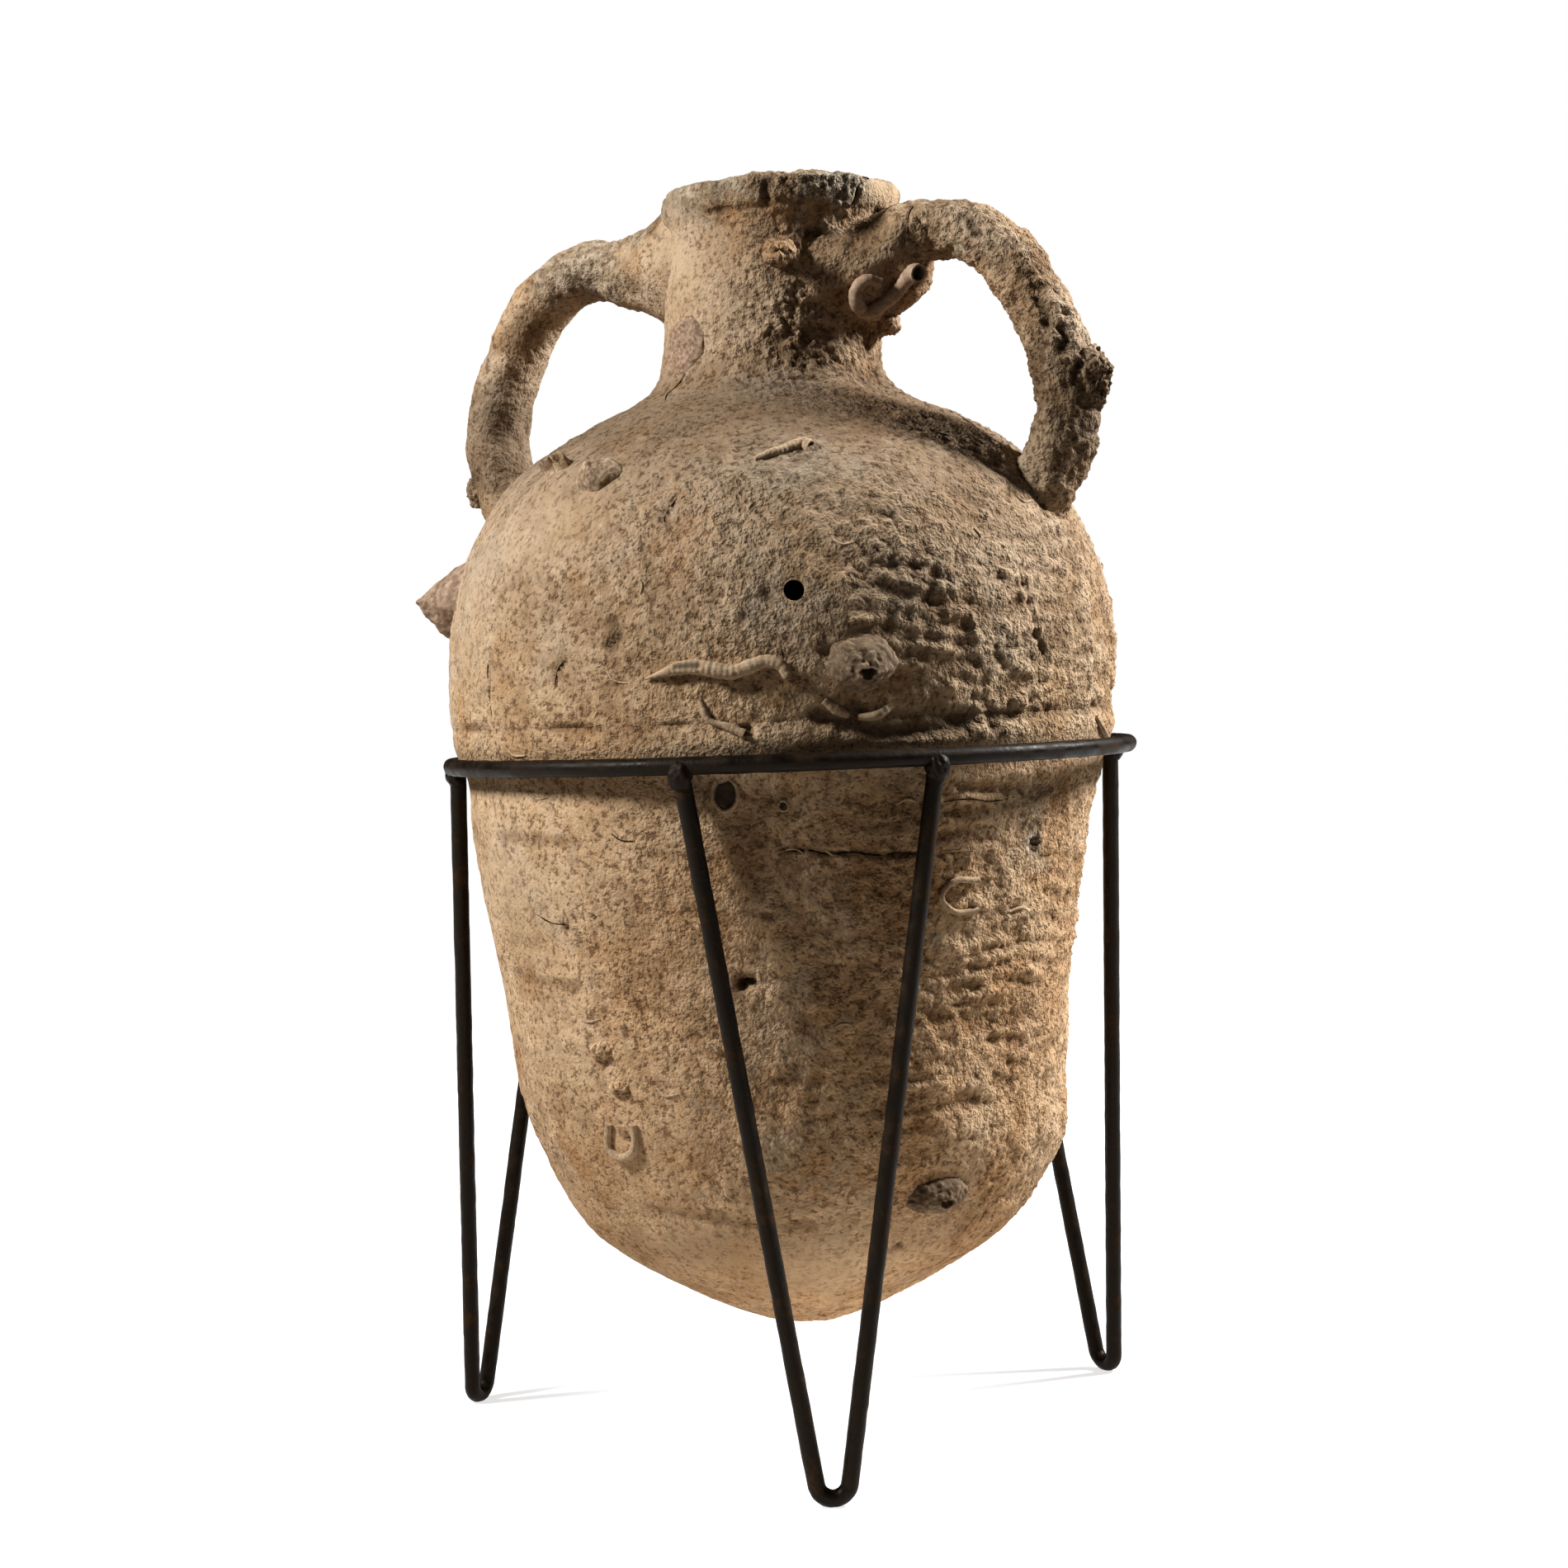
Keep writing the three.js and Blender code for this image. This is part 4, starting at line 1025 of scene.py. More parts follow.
def worm(name, node, places, radius, finish, taper=(0.8, 1, 1, 1, 0.9), pitch=2.2, mouths=(), detail=10):
    """Ringed worm tube through places on the clay, with an open mouth at the ends that are named."""
    steps = max(int(detail * len(places)), 12)
    path = curve_through(places, steps)
    along = np.concatenate([[0], np.cumsum(np.linalg.norm(np.diff(path, axis=0), axis=1))])
    width = np.interp(along / along[-1], np.linspace(0, 1, len(taper)), taper)
    rings = 1 + 0.028 * np.sin(2 * np.pi * along / (pitch * MM)) + 0.12 * clouds(path, 5 * MM, 2, 3)
    tube = rod(name, path, radius * MM * width * rings, WORM_SIDES)
    for end in mouths:
        line = path if end == "start" else path[::-1]
        open_mouth(tube, line[0], line[1], radius * MM)
    return grow(tube, node, finish)


def open_mouth(tube, end, before, radius):
    """Hollows the end of a tube: its cap of triangles is inset and pushed in, and the pushed-in points
    get painted shade.
    """
    end, before = Vector(end), Vector(before)
    inwards = (before - end).normalized() * radius * 1.8
    with editing(tube):
        bpy.ops.mesh.select_mode(type="FACE")
        bpy.ops.mesh.select_all(action="DESELECT")
    for face in tube.data.polygons:
        face.select = len(face.vertices) == 3 and (face.center - end).length < 1.5 * radius
    bpy.ops.object.mode_set(mode="EDIT")
    bpy.ops.mesh.inset(thickness=0.28 * radius)
    bpy.ops.mesh.extrude_region_move(TRANSFORM_OT_translate={"value": inwards})
    bpy.ops.object.mode_set(mode="OBJECT")
    # painted shade inside the mouth
    deep = np.array([point.select for point in tube.data.vertices], dtype=float)
    paint(tube, "painted_shade", deep)


def along_wall(pieces, pixels, lift):
    """Places over the clay under pixels of the photograph."""
    steps = [Vector((*step, 0)) * WORM_STEP * MM for step in product((-1, 0, 1), repeat=2)]
    places = [seen_on(pieces, x, y)[0] for x, y in pixels]
    return [place + outward_near(pieces, place, steps) * lift * MM for place in places]


def joined(pieces, name):
    """Several pieces as one."""
    bpy.ops.object.select_all(action="DESELECT")
    for piece in pieces:
        piece.select_set(True)
    bpy.context.view_layer.objects.active = pieces[0]
    bpy.ops.object.join()
    return named(name)


WORMS = [  # name, radius in millimetres, lift, open ends, taper and pixels
    ("worm_tube_shoulder", 2.4, 0.0, ("end",), (0.6, 0.9, 1.0, 1.15, 1.5),
     [(914, 557), (930, 551), (946, 546), (960, 541), (972, 538), (982, 542)]),
    ("worm_tube_waist", 1.6, 0.5, ("end",), (0.7, 1, 0.8, 1.1, 1.3),
     [(848, 848), (860, 872), (880, 880), (902, 890)]),
    ("worm_tube_side", 1.3, 0.5, ("end",), (0.7, 1, 1), [(1327, 869), (1333, 879), (1340, 892)]),
    ("worm_tube_curled", 1.3, 0.7, ("start",), (1.1, 1, 1, 0.8),
     [(1184, 1066), (1154, 1068), (1140, 1087), (1156, 1104), (1184, 1101)]),
    ("worm_tube_low", 1.8, 0.9, (), (0.9, 1, 1.1, 1, 0.8),
     [(739, 1361), (740, 1391), (755, 1402), (770, 1391), (769, 1362)]),
]
FINE_WORMS = [  # radius in millimetres, and the pixels that it runs through
    (0.5, [(735, 810), (741, 822), (752, 827), (776, 826)]),
    (0.6, [(1140, 1032), (1168, 1030), (1200, 1033)]), (0.7, [(612, 905), (622, 915), (637, 916)]),
    (0.6, [(770, 700), (778, 708), (776, 720)]), (0.7, [(1010, 655), (1022, 660), (1036, 656)]),
    (0.6, [(1180, 640), (1188, 650), (1184, 662)]), (0.8, [(1222, 1105), (1238, 1100), (1250, 1108)]),
    (0.6, [(840, 1085), (852, 1092), (868, 1090)]), (0.7, [(700, 1230), (712, 1238), (728, 1235)]),
    (0.6, [(1010, 1245), (1024, 1240), (1036, 1246)]), (0.6, [(642, 960), (650, 968), (664, 966)]),
    (0.7, [(1085, 975), (1098, 968), (1112, 972)]), (0.6, [(948, 1031), (962, 1028), (974, 1034)]),
    (0.6, [(1000, 1030), (1010, 1036), (1024, 1033)]), (0.8, [(796, 1318), (806, 1328), (822, 1326)]),
    (0.6, [(1230, 600), (1240, 608), (1252, 606)]),
]


# near-black lines of painted shade along the cracks
CRACKS = [  # radius in millimetres, and the pixels that it runs through
    (0.45, [
        (944, 1030), (966, 1032), (985, 1031), (1004, 1036),
        (1030, 1033), (1062, 1036), (1090, 1033), (1113, 1035),
    ]),
    (0.40, [(1143, 972), (1172, 968), (1200, 971), (1230, 966)]),
    (0.35, [(594, 790), (591, 812), (593, 838), (596, 868)]),
    (0.40, [(831, 452), (822, 466), (809, 478), (806, 486)]),
    (0.35, [(812, 642), (805, 630), (814, 612), (820, 604)]),
    (0.45, [(1106, 250), (1101, 262), (1100, 276), (1093, 298)]),
    (0.35, [(1110, 262), (1117, 273), (1124, 282)]),
    (0.40, [(1046, 199), (1053, 212), (1040, 226), (1035, 244)]),
    (0.35, [(684, 800), (676, 812), (672, 832)]), (0.35, [(740, 1010), (752, 1018), (770, 1020)]),
    (0.35, [(1160, 500), (1185, 520), (1210, 548)]),
    (0.35, [(1080, 505), (1110, 520), (1150, 528), (1176, 545)]),
    (0.30, [(650, 1108), (668, 1118), (690, 1121)]),
]


def fine_lines(name, pieces, table, lift, taper, detail, finish):
    """Many fine tubes or cracks as one piece, which has no CAD piece of its own."""
    lines = [
        worm("fine_line", None, along_wall(pieces, pixels, lift), radius, finish, taper, 3, (), detail)
        for radius, pixels in table
    ]
    return grow(joined(lines, name), None, finish)


def front_worm(finish):
    """Ringed tube that tapers out to the left, with a broken window in its side whose inside is painted
    shade.
    """
    pixels = [
        (784, 823), (804, 816), (824, 810), (846, 808), (868, 812),
        (890, 814), (910, 808), (930, 801), (946, 806), (955, 819),
    ]
    taper = (0.15, 0.5, 0.9, 1.05, 1.05, 1.05, 1, 0.95, 0.9, 0.7)
    places = along_wall(WALLS, pixels, 1.3)
    tube = worm("worm_tube_front_grown", "worm_tube_front", places, 3.1, finish, taper, 2.6, (), 16)
    window = along_wall(WALLS, [(824, 807), (846, 805)], 4.4)
    share = 1 - ease(1.0 * MM, 2.6 * MM, away_from(points_of(tube), window))
    # painted shade in the sunken window
    paint(tube, "painted_shade", share * 0.8)
    move_points(tube, points_of(tube) - normals_of(tube) * (share * 1.2 * MM)[:, None])
    return tube


def mouth(name, size, pixels, radius, finish):
    """Thin rim of a tube that opens out of the clay, round an inside that is a low dome of painted
    shade.
    """
    inside = dome(name, WALLS, size, floor_shape)
    # painted shade: the whole inside dome is dark
    paint(inside, "painted_shade", np.ones(len(inside.data.vertices)))
    taper = (0.8, 1, 1, 1, 0.8)
    rim = worm("rim", None, along_wall(WALLS, pixels, 0.9), radius, finish, taper, 3)
    return grow(joined([inside, rim], f"{name}_grown"), name, finish)


def chip(finish):
    """Edge of a thin buried shell."""
    edges = [
        worm("chip", None, along_wall(WALLS, pixels, 0.8), 2.2, finish, taper, 3)
        for pixels, taper in (
            ([(998, 848), (1010, 858), (1027, 865)], (0.7, 1, 0.8)),
            ([(1040, 868), (1062, 866), (1080, 854)], (0.6, 1, 0.7)),
        )
    ]
    return grow(joined(edges, "shell_chip_front_grown"), "shell_chip_front", finish)


def handle_worm(finish):
    """Hooked tube on the joint of the right handle, open at its far end."""
    pixels = [
        (1066, 340), (1050, 336), (1038, 346), (1036, 361),
        (1047, 374), (1064, 367), (1082, 352), (1097, 334),
    ]
    joint = [bars["right"], neck]
    places = along_wall(joint, pixels, 2.4)
    places += along_wall(joint, [(1102, 326)], 5.0) + along_wall(joint, [(1102, 324)], 8.0)
    taper = (0.75, 0.95, 1, 1, 1.35)
    return worm(
        "worm_tube_handle_grown", "worm_tube_handle", places, 3.2, finish, taper, 2.4, ("end",), 12,
    )


def painted(piece, name):
    """The shares that are kept for the points of a piece."""
    values = np.empty(len(piece.data.vertices), dtype=np.float32)
    piece.data.attributes[name].data.foreach_get("value", values)
    return values


def dress_growth(chalk, pink, fuzz, crust):
    """Every piece of growth in place of its CAD piece."""
    grown = [
        ("limpet_shell", WALLS, (40, 40, 17.5), limpet_shape, -5, pink, 0.32),
        ("oyster_scar", WALLS, (32, 31, 2.4), scar_shape, 0, pink, 0.10),
        ("sponge_knob", WALLS, (23, 20, 8), lump_shape, 0, crust, 0.35),
        ("broken_cell_shell", WALLS, (20, 13, 5), two_cells_shape, 0, chalk, 0.15),
        ("neck_knob", WALLS, (16, 16, 8), lump_shape, 0, clay, 0.12),
        ("barnacle_front", WALLS, (31, 26, 9.5), crater_shape, -4.5, fuzz, 0.45),
        ("barnacle_low", WALLS, (31, 20, 8), crater_shape, 0, fuzz, 0.5),
        ("low_bump_upper", WALLS, (13, 11, 4), lump_shape, 0, clay, 0.45),
        ("low_bump_lower", WALLS, (11, 8, 3.5), lump_shape, 0, clay, 0.45),
        ("handle_lump_right", [bars["right"]], (26, 34, 7), lump_shape, 0, clay, 1.3),
        ("handle_lump_left", [bars["left"]], (20, 18, 5), lump_shape, 0, clay, 0.7),
        ("handle_knob", [bars["right"], neck], (17, 15, 7), lump_shape, 0, clay, 0.6),
    ]
    for number, (name, on, size, shape, drift, finish, depth) in enumerate(grown):
        piece = roughen(dome(name, on, size, shape, drift), depth, 3.2 if depth > 0.3 else 1.6, number)
        # painted shade in the middle of each barnacle's crater
        if shape is crater_shape:
            paint(piece, "painted_shade", 0.75 * (1 - ease(0.05, 0.17, painted(piece, "share"))))
        grow(piece, name, finish)
    for name, radius, lift, mouths, taper, pixels in WORMS:
        worm(f"{name}_grown", name, along_wall(WALLS, pixels, lift), radius, chalk, taper, 2, mouths, 12)
    front_worm(chalk)
    chip(chalk)
    mouth("tube_mouth", (10.5, 13, 0.7), [
        (867, 945), (863, 957), (866, 972), (878, 983),
        (890, 976), (894, 962), (891, 950), (884, 943),
    ], 0.85, chalk)
    mouth("small_ring_shell", (3.6, 3.6, 0.6), [
        (944, 972), (943, 978), (948, 982), (954, 980), (955, 974), (950, 970), (945, 971),
    ], 0.6, chalk)
    handle_worm(pink)
    fine_lines("fine_worms", WALLS, FINE_WORMS, 0.05, (0.5, 1, 0.9, 0.5), 8, chalk)
    fine_lines("fine_crack_shades", CLAY_PIECES, CRACKS, 0.0, (0.3, 1, 0.8, 1, 0.3), 7, crack_shade_finish())


# Iron stand


def rust(piece, depth):
    """Small dents and scale on the rod."""
    places = points_of(piece)
    dents = clouds(places, 9 * MM, 2, 8) + 0.5 * clouds(places, 2.5 * MM, 2, 9)
    places = places + normals_of(piece) * ((dents - 0.6) * depth)[:, None]
    places[:, 2] = np.maximum(places[:, 2], 0)
    move_points(piece, places)
    return piece


def stand_piece(piece, node):
    rust(piece, RUST_DEPTH)
    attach(piece, "stand")
    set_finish(piece, "iron")
    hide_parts(node)
    return piece


def hoop():
    ring = added(
        "stand_hoop", bpy.ops.mesh.primitive_torus_add,
        major_radius=RING_RADIUS, minor_radius=ROD_RADIUS,
        major_segments=HOOP_STEPS, minor_segments=ROD_SIDES, location=STAND_AXIS,
    )
    return close_seams(settle(ring))


def hairpin(side):
    """Leg bent from one rod: down, round the foot and up again."""
    out = towards(LEG_BEARINGS[side])
    chord = math.sqrt(RING_RADIUS**2 - (HAIRPIN_SPAN / 2) ** 2)
    top = STAND_AXIS + out * chord
    top.z = RING_HEIGHT - ROD_RADIUS
    foot = STAND_AXIS + out * FOOT_REACHES[side]
    foot.z = ROD_RADIUS - FOOT_FLAT
    aside = towards(LEG_BEARINGS[side] + 90)
    climb = (top - foot).normalized()
    rise = (top - foot).length
    run = math.hypot(HAIRPIN_SPAN / 2, rise - FOOT_BEND_RADIUS)
    straight = math.atan2(rise - FOOT_BEND_RADIUS, HAIRPIN_SPAN / 2) - math.acos(FOOT_BEND_RADIUS / run)
    bend = [
        (FOOT_BEND_RADIUS * math.cos(turn), FOOT_BEND_RADIUS * (1 + math.sin(turn)))
        for turn in np.linspace(-math.pi - straight, straight, 32)
    ]
    right = [
        (lerp(bend[-1][0], HAIRPIN_SPAN / 2, share), lerp(bend[-1][1], rise, share))
        for share in np.linspace(0, 1, 90)[1:]
    ]
    left = [(-across, up) for across, up in right[::-1]]
    path = [foot + aside * across + climb * up for across, up in [*left, *bend, *right]]
    leg = rod(f"stand_{side}_hairpin", path, [ROD_RADIUS] * len(path), ROD_SIDES)
    with editing(leg):
        bpy.ops.mesh.bisect(plane_co=(0, 0, 0), plane_no=(0, 0, 1), use_fill=True, clear_inner=True)
    return close_seams(leg)


def weld(name, middle):
    """Lumpy bead of weld under the ring."""
    bead = settle(added(
        name, bpy.ops.mesh.primitive_ico_sphere_add,
        subdivisions=WELD_DETAIL, radius=WELD_RADIUS, location=middle,
    ))
    places = points_of(bead)
    places = (places - np.array(middle)) * np.array([0.86, 0.86, 1.1]) + np.array(middle)
    lumps = clouds(places, 5 * MM, 2, 11) * 0.8 * MM
    move_points(bead, places + normals_of(bead) * lumps[:, None])
    return close_seams(bead)


stand_piece(hoop(), "stand_ring")
for side in LEG_BEARINGS:
    stand_piece(hairpin(side), f"stand_leg_{side}")
    for end in "ab":
        low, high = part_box(f"stand_weld_{side}_{end}")
        stand_piece(weld(f"{side}_weld_{end}", (low + high) / 2), f"stand_weld_{side}_{end}")


# Finishes


class Nodes:
    """The nodes of a material or a world, with short ways to add more."""

    def __init__(self, owner):
        owner.use_nodes = True
        self.nodes = owner.node_tree.nodes
        self.links = owner.node_tree.links

    def feed(self, node, values):
        """Links a node's sockets to others, or gives them plain values."""
        for key, value in values.items():
            if isinstance(value, bpy.types.NodeSocket):
                self.links.new(value, node.inputs[key])
            else:
                node.inputs[key].default_value = (*value, 1) if isinstance(value, tuple) else value

    def add(self, kind, values):
        """First output of a new node."""
        node = self.nodes.new(kind)
        self.feed(node, values)
        return node.outputs[0]

    def work_out(self, kind, *values):
        step = self.nodes.new("ShaderNodeMath")
        step.operation = kind
        self.feed(step, dict(enumerate(values)))
        return step.outputs[0]


class Finish(Nodes):
    """A new material."""

    def __init__(self, name):
        self.material = bpy.data.materials.new(name)
        super().__init__(self.material)
        self.shader = self.nodes["Principled BSDF"]
        self.place = self.nodes.new("ShaderNodeTexCoord").outputs["Object"]

    def grain(self, size, detail, rough=0.6):
        """Noise on the piece's own coordinates, with lumps of about that size."""
        return self.add("ShaderNodeTexNoise", {
            "Vector": self.place, "Scale": 1 / size, "Detail": detail, "Roughness": rough,
        })

    def ramp(self, source, stops):
        """Colour by a value, from pairs of value and colour."""
        band = self.nodes.new("ShaderNodeValToRGB")
        elements = band.color_ramp.elements
        elements.remove(elements[1])
        elements[0].position = stops[0][0]
        elements[0].color = (*stops[0][1], 1)
        for place, colour in stops[1:]:
            elements.new(place).color = (*colour, 1)
        self.feed(band, {0: source})
        return band.outputs[0]

    def blend(self, share, first, second, mode="MIX"):
        mix = self.nodes.new("ShaderNodeMix")
        mix.data_type = "RGBA"
        mix.blend_type = mode
        self.feed(mix, {0: share, 6: first, 7: second})
        return mix.outputs[2]

    def tint(self, share, colour, source, stops):
        """The colour multiplied by a share of the colours of a ramp."""
        return self.blend(share, colour, self.ramp(source, stops), "MULTIPLY")

    def painted(self, name):
        """A share that is painted on the points of the piece."""
        layer = self.nodes.new("ShaderNodeAttribute")
        layer.attribute_name = name
        return layer.outputs["Fac"]

    def between(self, value, reach, levels):
        """A value that goes over a reach, turned into one that goes between two levels."""
        return self.add("ShaderNodeMapRange", {
            "Value": value, "From Min": reach[0], "From Max": reach[1],
            "To Min": levels[0], "To Max": levels[1],
        })

    def surface(self, colour, roughness, shine):
        values = {"Base Color": colour, "Roughness": roughness, "Specular IOR Level": shine}
        self.feed(self.shader, values)

    def bump(self, height, distance, strength):
        values = {"Height": height, "Distance": distance, "Strength": strength}
        self.feed(self.shader, {"Normal": self.add("ShaderNodeBump", values)})


def clay_finish():
    """Fired clay under a lime crust: tan, with grey, orange and dark crusty patches; painted shade
    darkens its hollows, pits, grooves, shoulder and rim top, and painted light brightens its ridges and
    lower body.
    """
    finish = Finish("sea_worn_clay")
    colour = finish.ramp(finish.grain(75 * MM, 5), [
        (0.34, (0.385, 0.245, 0.135)), (0.48, (0.465, 0.325, 0.200)),
        (0.60, (0.515, 0.375, 0.245)), (0.72, (0.435, 0.335, 0.232)),
    ])
    colour = finish.tint(0.8, colour, finish.grain(34 * MM, 5, 0.62), [
        (0.33, (0.92, 0.82, 0.68)), (0.45, (1.02, 1.0, 0.97)),
        (0.56, (1.03, 1.04, 1.05)), (0.68, (0.86, 0.90, 0.94)),
    ])
    height_for_painted_shade = finish.nodes.new("ShaderNodeSeparateXYZ")
    finish.feed(height_for_painted_shade, {0: finish.place})
    # by height: partly the greyer crust of the shoulder, partly painted shade on the up-facing shoulder
    # and rim top and painted light low on the body
    colour = finish.tint(1.0, colour, height_for_painted_shade.outputs["Z"], [
        (0.24, (1.15, 1.10, 1.04)), (0.345, (1.06, 1.05, 1.02)), (0.39, (0.87, 0.87, 0.87)),
        (0.43, (0.76, 0.77, 0.78)), (0.468, (0.45, 0.44, 0.43)), (0.494, (0.44, 0.43, 0.42)),
        (0.515, (0.83, 0.84, 0.86)), (0.568, (0.84, 0.84, 0.84)), (0.580, (0.55, 0.55, 0.55)),
    ])
    colour = finish.tint(0.85, colour, finish.grain(11 * MM, 6, 0.7), [
        (0.34, (0.76, 0.71, 0.64)), (0.47, (1.0, 0.99, 0.98)), (0.66, (1.14, 1.14, 1.14)),
    ])
    flakes = finish.ramp(finish.grain(2.8 * MM, 3, 0.65), [
        (0.36, (0, 0, 0)), (0.46, (0.7, 0.7, 0.7)), (0.62, (1, 1, 1)),
    ])
    pores = finish.add("ShaderNodeTexVoronoi", {"Vector": finish.place, "Scale": 1 / (1.9 * MM)})
    pit_height_and_shade = finish.work_out("MULTIPLY_ADD", pores, -0.55, flakes)
    height = finish.work_out("MULTIPLY_ADD", finish.grain(1.4 * MM, 1), 0.55, pit_height_and_shade)
    # painted shade in the pores and flake edges and painted light on the grains, from the same height as
    # the bump
    colour = finish.tint(0.85, colour, pit_height_and_shade, [
        (0.0, (0.44, 0.37, 0.30)), (0.20, (0.88, 0.86, 0.84)), (0.66, (1.15, 1.15, 1.15)),
    ])
    # painted shade in the hollows of the relief and painted light on its ridges
    colour = finish.tint(0.9, colour, finish.painted("painted_recess_shade"), [
        (0.15, (1.12, 1.12, 1.12)), (0.5, (0.98, 0.97, 0.96)), (0.85, (0.62, 0.56, 0.49)),
    ])
    colour = finish.blend(finish.painted("bare"), colour, (0.50, 0.355, 0.22))
    rusty = finish.work_out("MULTIPLY", finish.painted("rust"), 0.75)
    colour = finish.blend(rusty, colour, (0.40, 0.20, 0.075))
    crusty = finish.ramp(finish.grain(4.5 * MM, 6, 0.75), [
        (0.40, (0.045, 0.033, 0.021)), (0.48, (0.15, 0.115, 0.078)), (0.55, (0.50, 0.43, 0.32)),
    ])
    # dark crust, and painted shade where its spots stand for shade
    crust_and_shade_share = finish.work_out("MULTIPLY", finish.painted("dark_crust_and_shade"), 0.85)
    colour = finish.blend(crust_and_shade_share, colour, crusty)
    # painted shade: near-black in pits, grooves, craters and tube openings
    colour = finish.blend(finish.painted("painted_shade"), colour, (0.05, 0.034, 0.020))
    finish.surface(colour, 0.92, 0.2)
    strength = finish.work_out("MULTIPLY_ADD", finish.painted("coarse"), 0.6, 0.4)
    finish.bump(height, 0.8 * MM, strength)
    return finish.material


def iron_finish():
    """Blackened iron with thin rust."""
    finish = Finish("blackened_iron")
    rusty = finish.grain(12 * MM, 6, 0.7)
    colour = finish.ramp(rusty, [
        (0.4, (0.006, 0.0038, 0.0022)), (0.56, (0.012, 0.0075, 0.0042)), (0.70, (0.040, 0.019, 0.008)),
    ])
    roughness = finish.ramp(rusty, [(0.35, (0.34, 0.34, 0.34)), (0.7, (0.72, 0.72, 0.72))])
    finish.surface(colour, roughness, 0.10)
    finish.feed(finish.shader, {"Specular Tint": (1.0, 0.86, 0.74)})
    finish.bump(finish.grain(1.6 * MM, 4), 0.4 * MM, 0.5)
    return finish.material


def growth_finish(name, tones, grit_size, depth, roughness=0.85):
    """Shell or crust: three tones in patches, with painted shade in its hollows, among its grains and in
    its openings.
    """
    finish = Finish(name)
    grit_height_and_shade = finish.grain(grit_size * MM, 5, 0.7)
    patches = finish.grain(grit_size * MM * 2.2, 5, 0.7)
    colour = finish.ramp(patches, list(zip((0.36, 0.5, 0.64), tones)))
    # painted shade in the hollows and painted light on the grains
    colour = finish.tint(0.9, colour, finish.painted("painted_recess_shade"), [
        (0.25, (1.12, 1.11, 1.10)), (0.5, (0.95, 0.93, 0.91)), (0.8, (0.52, 0.45, 0.38)),
    ])
    # painted shade in the low grit and painted light on its grains, from the same height as the bump
    colour = finish.tint(0.85, colour, grit_height_and_shade, [
        (0.34, (0.66, 0.60, 0.53)), (0.52, (1, 1, 1)), (0.68, (1.12, 1.12, 1.10)),
    ])
    # painted shade in openings and craters
    colour = finish.blend(finish.painted("painted_shade"), colour, (0.035, 0.022, 0.013))
    finish.surface(colour, roughness, 0.25)
    finish.bump(grit_height_and_shade, depth * MM, 0.7)
    return finish.material


def crack_shade_finish():
    """Painted shade: the near-black of a crack's shadowed inside."""
    finish = Finish("painted_crack_shade")
    patches = finish.grain(4 * MM, 3)
    colour = finish.ramp(patches, [(0.4, (0.012, 0.008, 0.005)), (0.7, (0.07, 0.048, 0.03))])
    finish.surface(colour, 1.0, 0.0)
    return finish.material


clay = clay_finish()
iron = iron_finish()
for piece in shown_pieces():
    piece.data.materials.clear()
    piece.data.materials.append(iron if piece.get("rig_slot") == "iron" else clay)
dress_growth(
    growth_finish("chalky_tube", [
        (0.35, 0.235, 0.135), (0.44, 0.315, 0.195), (0.51, 0.385, 0.255),
    ], 1.2, 0.6),
    growth_finish("pinkish_shell", [
        (0.29, 0.185, 0.115), (0.36, 0.245, 0.165), (0.43, 0.31, 0.215),
    ], 2.2, 0.6, 0.75),
    growth_finish("fuzzy_barnacle", [
        (0.15, 0.098, 0.055), (0.21, 0.145, 0.086), (0.27, 0.195, 0.123),
    ], 2.2, 1.2),
    growth_finish("granular_crust", [
        (0.36, 0.255, 0.16), (0.44, 0.32, 0.21), (0.50, 0.375, 0.25),
    ], 2.2, 1.2),
)


# Floor and light

FLOOR_SIZE = 14
FLOOR_GLOW = 0.74
SKY_GLOW = 0.005
LAMP_AIM = Vector((0, 0, 0.33))
SHADOW_REACH = (0.42, 1.1)
LIT_REACH = (0.12, 0.55)


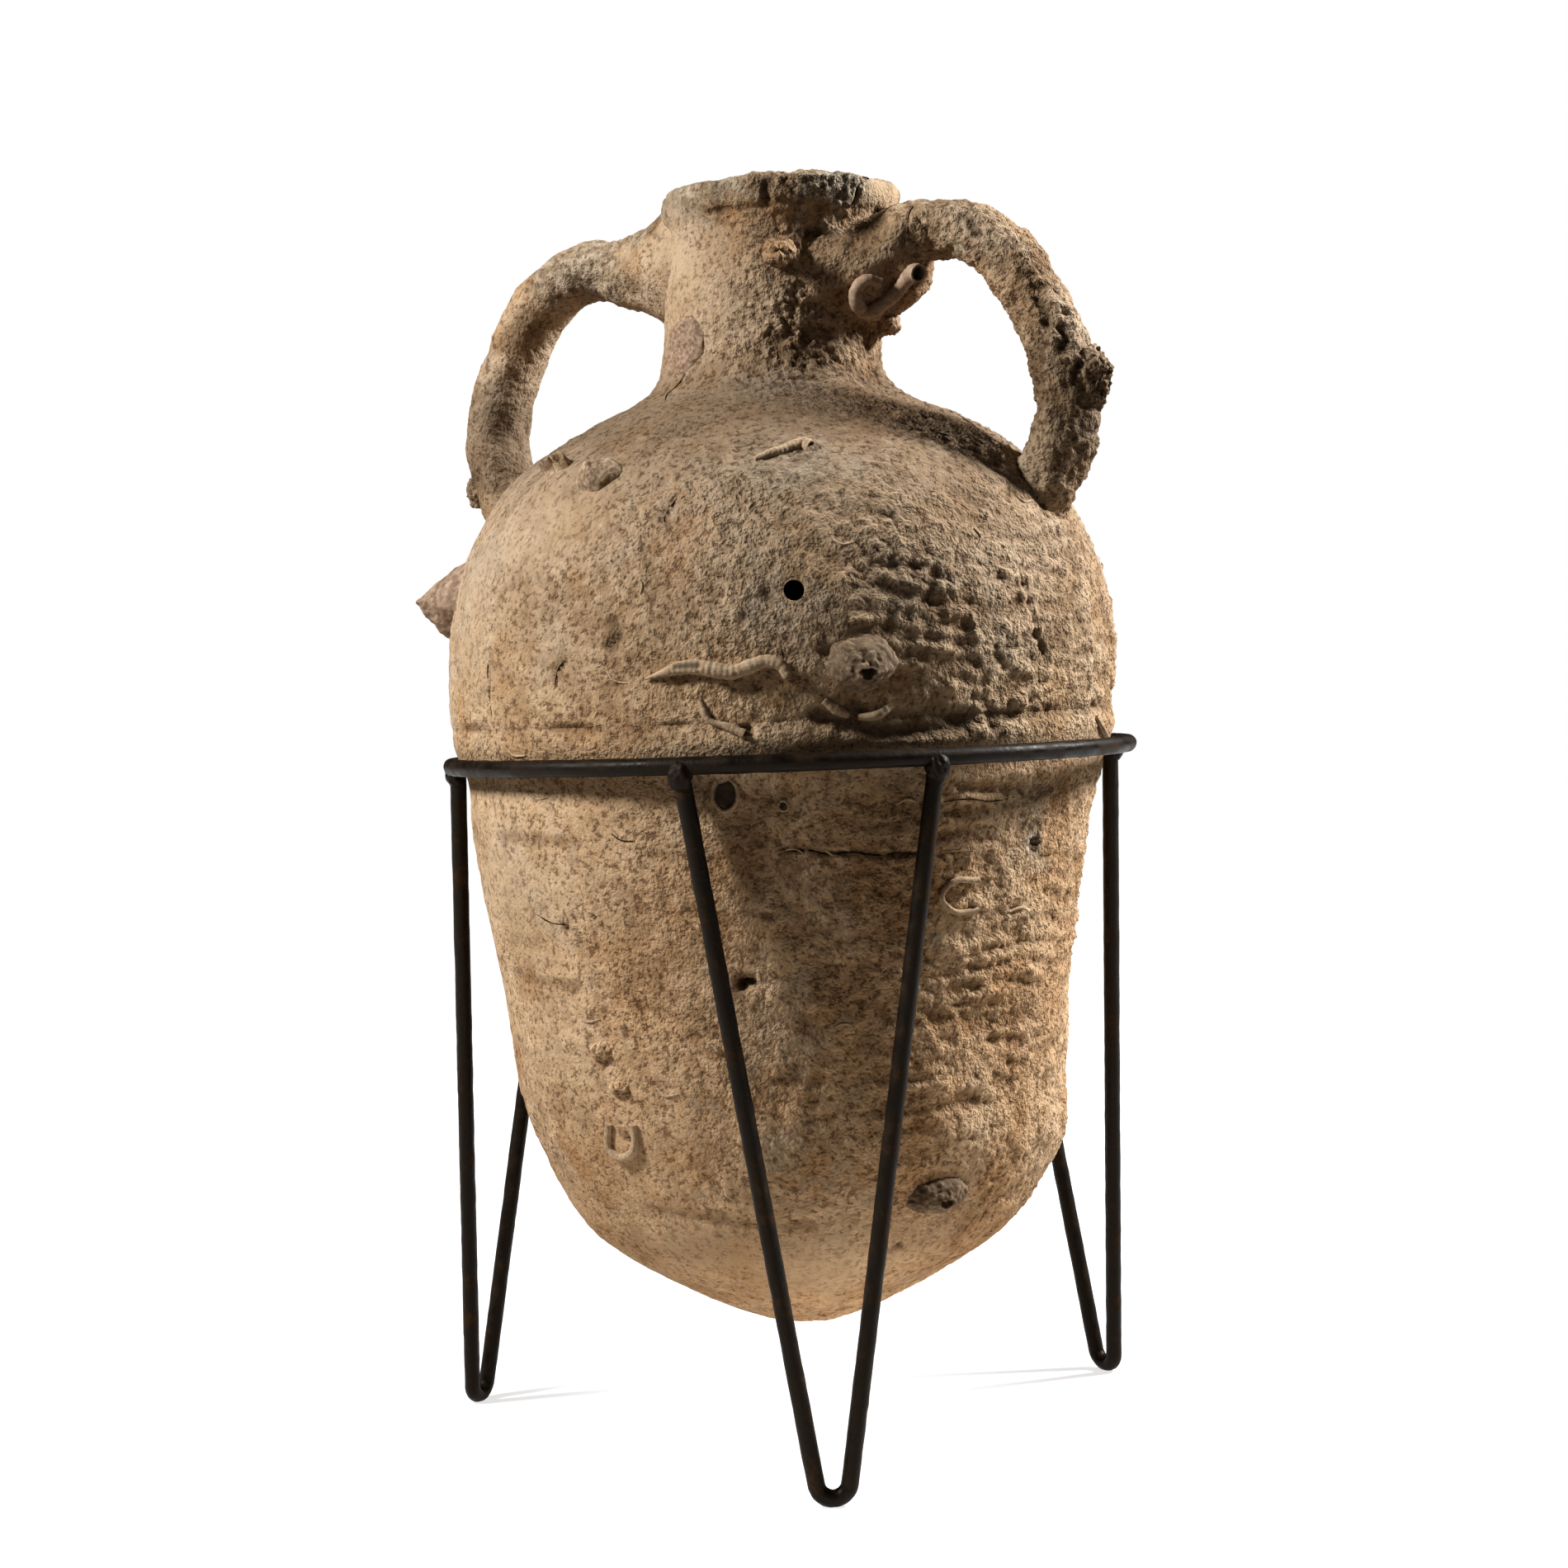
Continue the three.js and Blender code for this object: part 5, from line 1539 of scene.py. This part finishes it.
def pale_floor():
    """White paper: the camera sees it pale under the stand and white further out, with its shadows."""
    finish = Finish("white_paper")
    length = finish.nodes.new("ShaderNodeVectorMath")
    length.operation = "LENGTH"
    finish.feed(length, {0: finish.place})
    away = length.outputs["Value"]
    lit = finish.between(away, LIT_REACH, (0.0, 1.0))
    tone = finish.ramp(lit, [(0.0, (0.72, 0.66, 0.58)), (1.0, (0.10, 0.09, 0.08))])
    finish.surface(tone, 1.0, 0.0)
    level = finish.between(away, SHADOW_REACH, (FLOOR_GLOW, 1.0))
    glow = finish.add("ShaderNodeEmission", {"Strength": level})
    matt = finish.add("ShaderNodeBsdfDiffuse", {"Color": (0.42, 0.42, 0.42)})
    seen = finish.add("ShaderNodeAddShader", {0: glow, 1: matt})
    rays = finish.nodes.new("ShaderNodeLightPath").outputs
    direct = finish.work_out("MAXIMUM", rays["Is Camera Ray"], rays["Is Glossy Ray"])
    both = finish.add("ShaderNodeMixShader", {0: direct, 1: finish.shader.outputs[0], 2: seen})
    finish.feed(finish.nodes["Material Output"], {"Surface": both})
    return finish.material


floor = added("floor", bpy.ops.mesh.primitive_plane_add, size=FLOOR_SIZE, location=(0, 0, 0))
floor.data.materials.append(pale_floor())

world = bpy.data.worlds.new("studio")
bpy.context.scene.world = world
sky = Nodes(world)
rays = sky.nodes.new("ShaderNodeLightPath").outputs
seen_white = sky.work_out("MAXIMUM", rays["Is Camera Ray"], rays["Is Transmission Ray"])
level = sky.add("ShaderNodeMix", {0: seen_white, 2: SKY_GLOW, 3: 1.0})
sky.feed(sky.nodes["Background"], {"Color": (1, 1, 1), "Strength": level})


def softbox(name, bearing, rise, distance, size, power):
    """Soft lamp at a bearing and a rise in degrees, turned to the middle of the jar."""
    climb = math.radians(rise)
    way = towards(bearing) * math.cos(climb) + Vector((0, 0, math.sin(climb)))
    place = LAMP_AIM + way * distance
    lamp = bpy.data.objects.new(name, bpy.data.lights.new(name, "AREA"))
    lamp.data.shape = "RECTANGLE"
    lamp.data.size, lamp.data.size_y = size
    lamp.data.energy = power
    lamp.location = place
    lamp.rotation_mode = "QUATERNION"
    lamp.rotation_quaternion = (LAMP_AIM - place).to_track_quat("-Z", "Y")
    bpy.context.scene.collection.objects.link(lamp)


softbox("left_softbox", -69, 36, 1.7, (0.22, 0.32), 39)
softbox("right_softbox", 102, 36, 1.7, (0.22, 0.32), 60)
softbox("front_fill", -25, 35, 2.2, (1.2, 0.8), 0.25)

bpy.context.scene.view_settings.view_transform = "Standard"
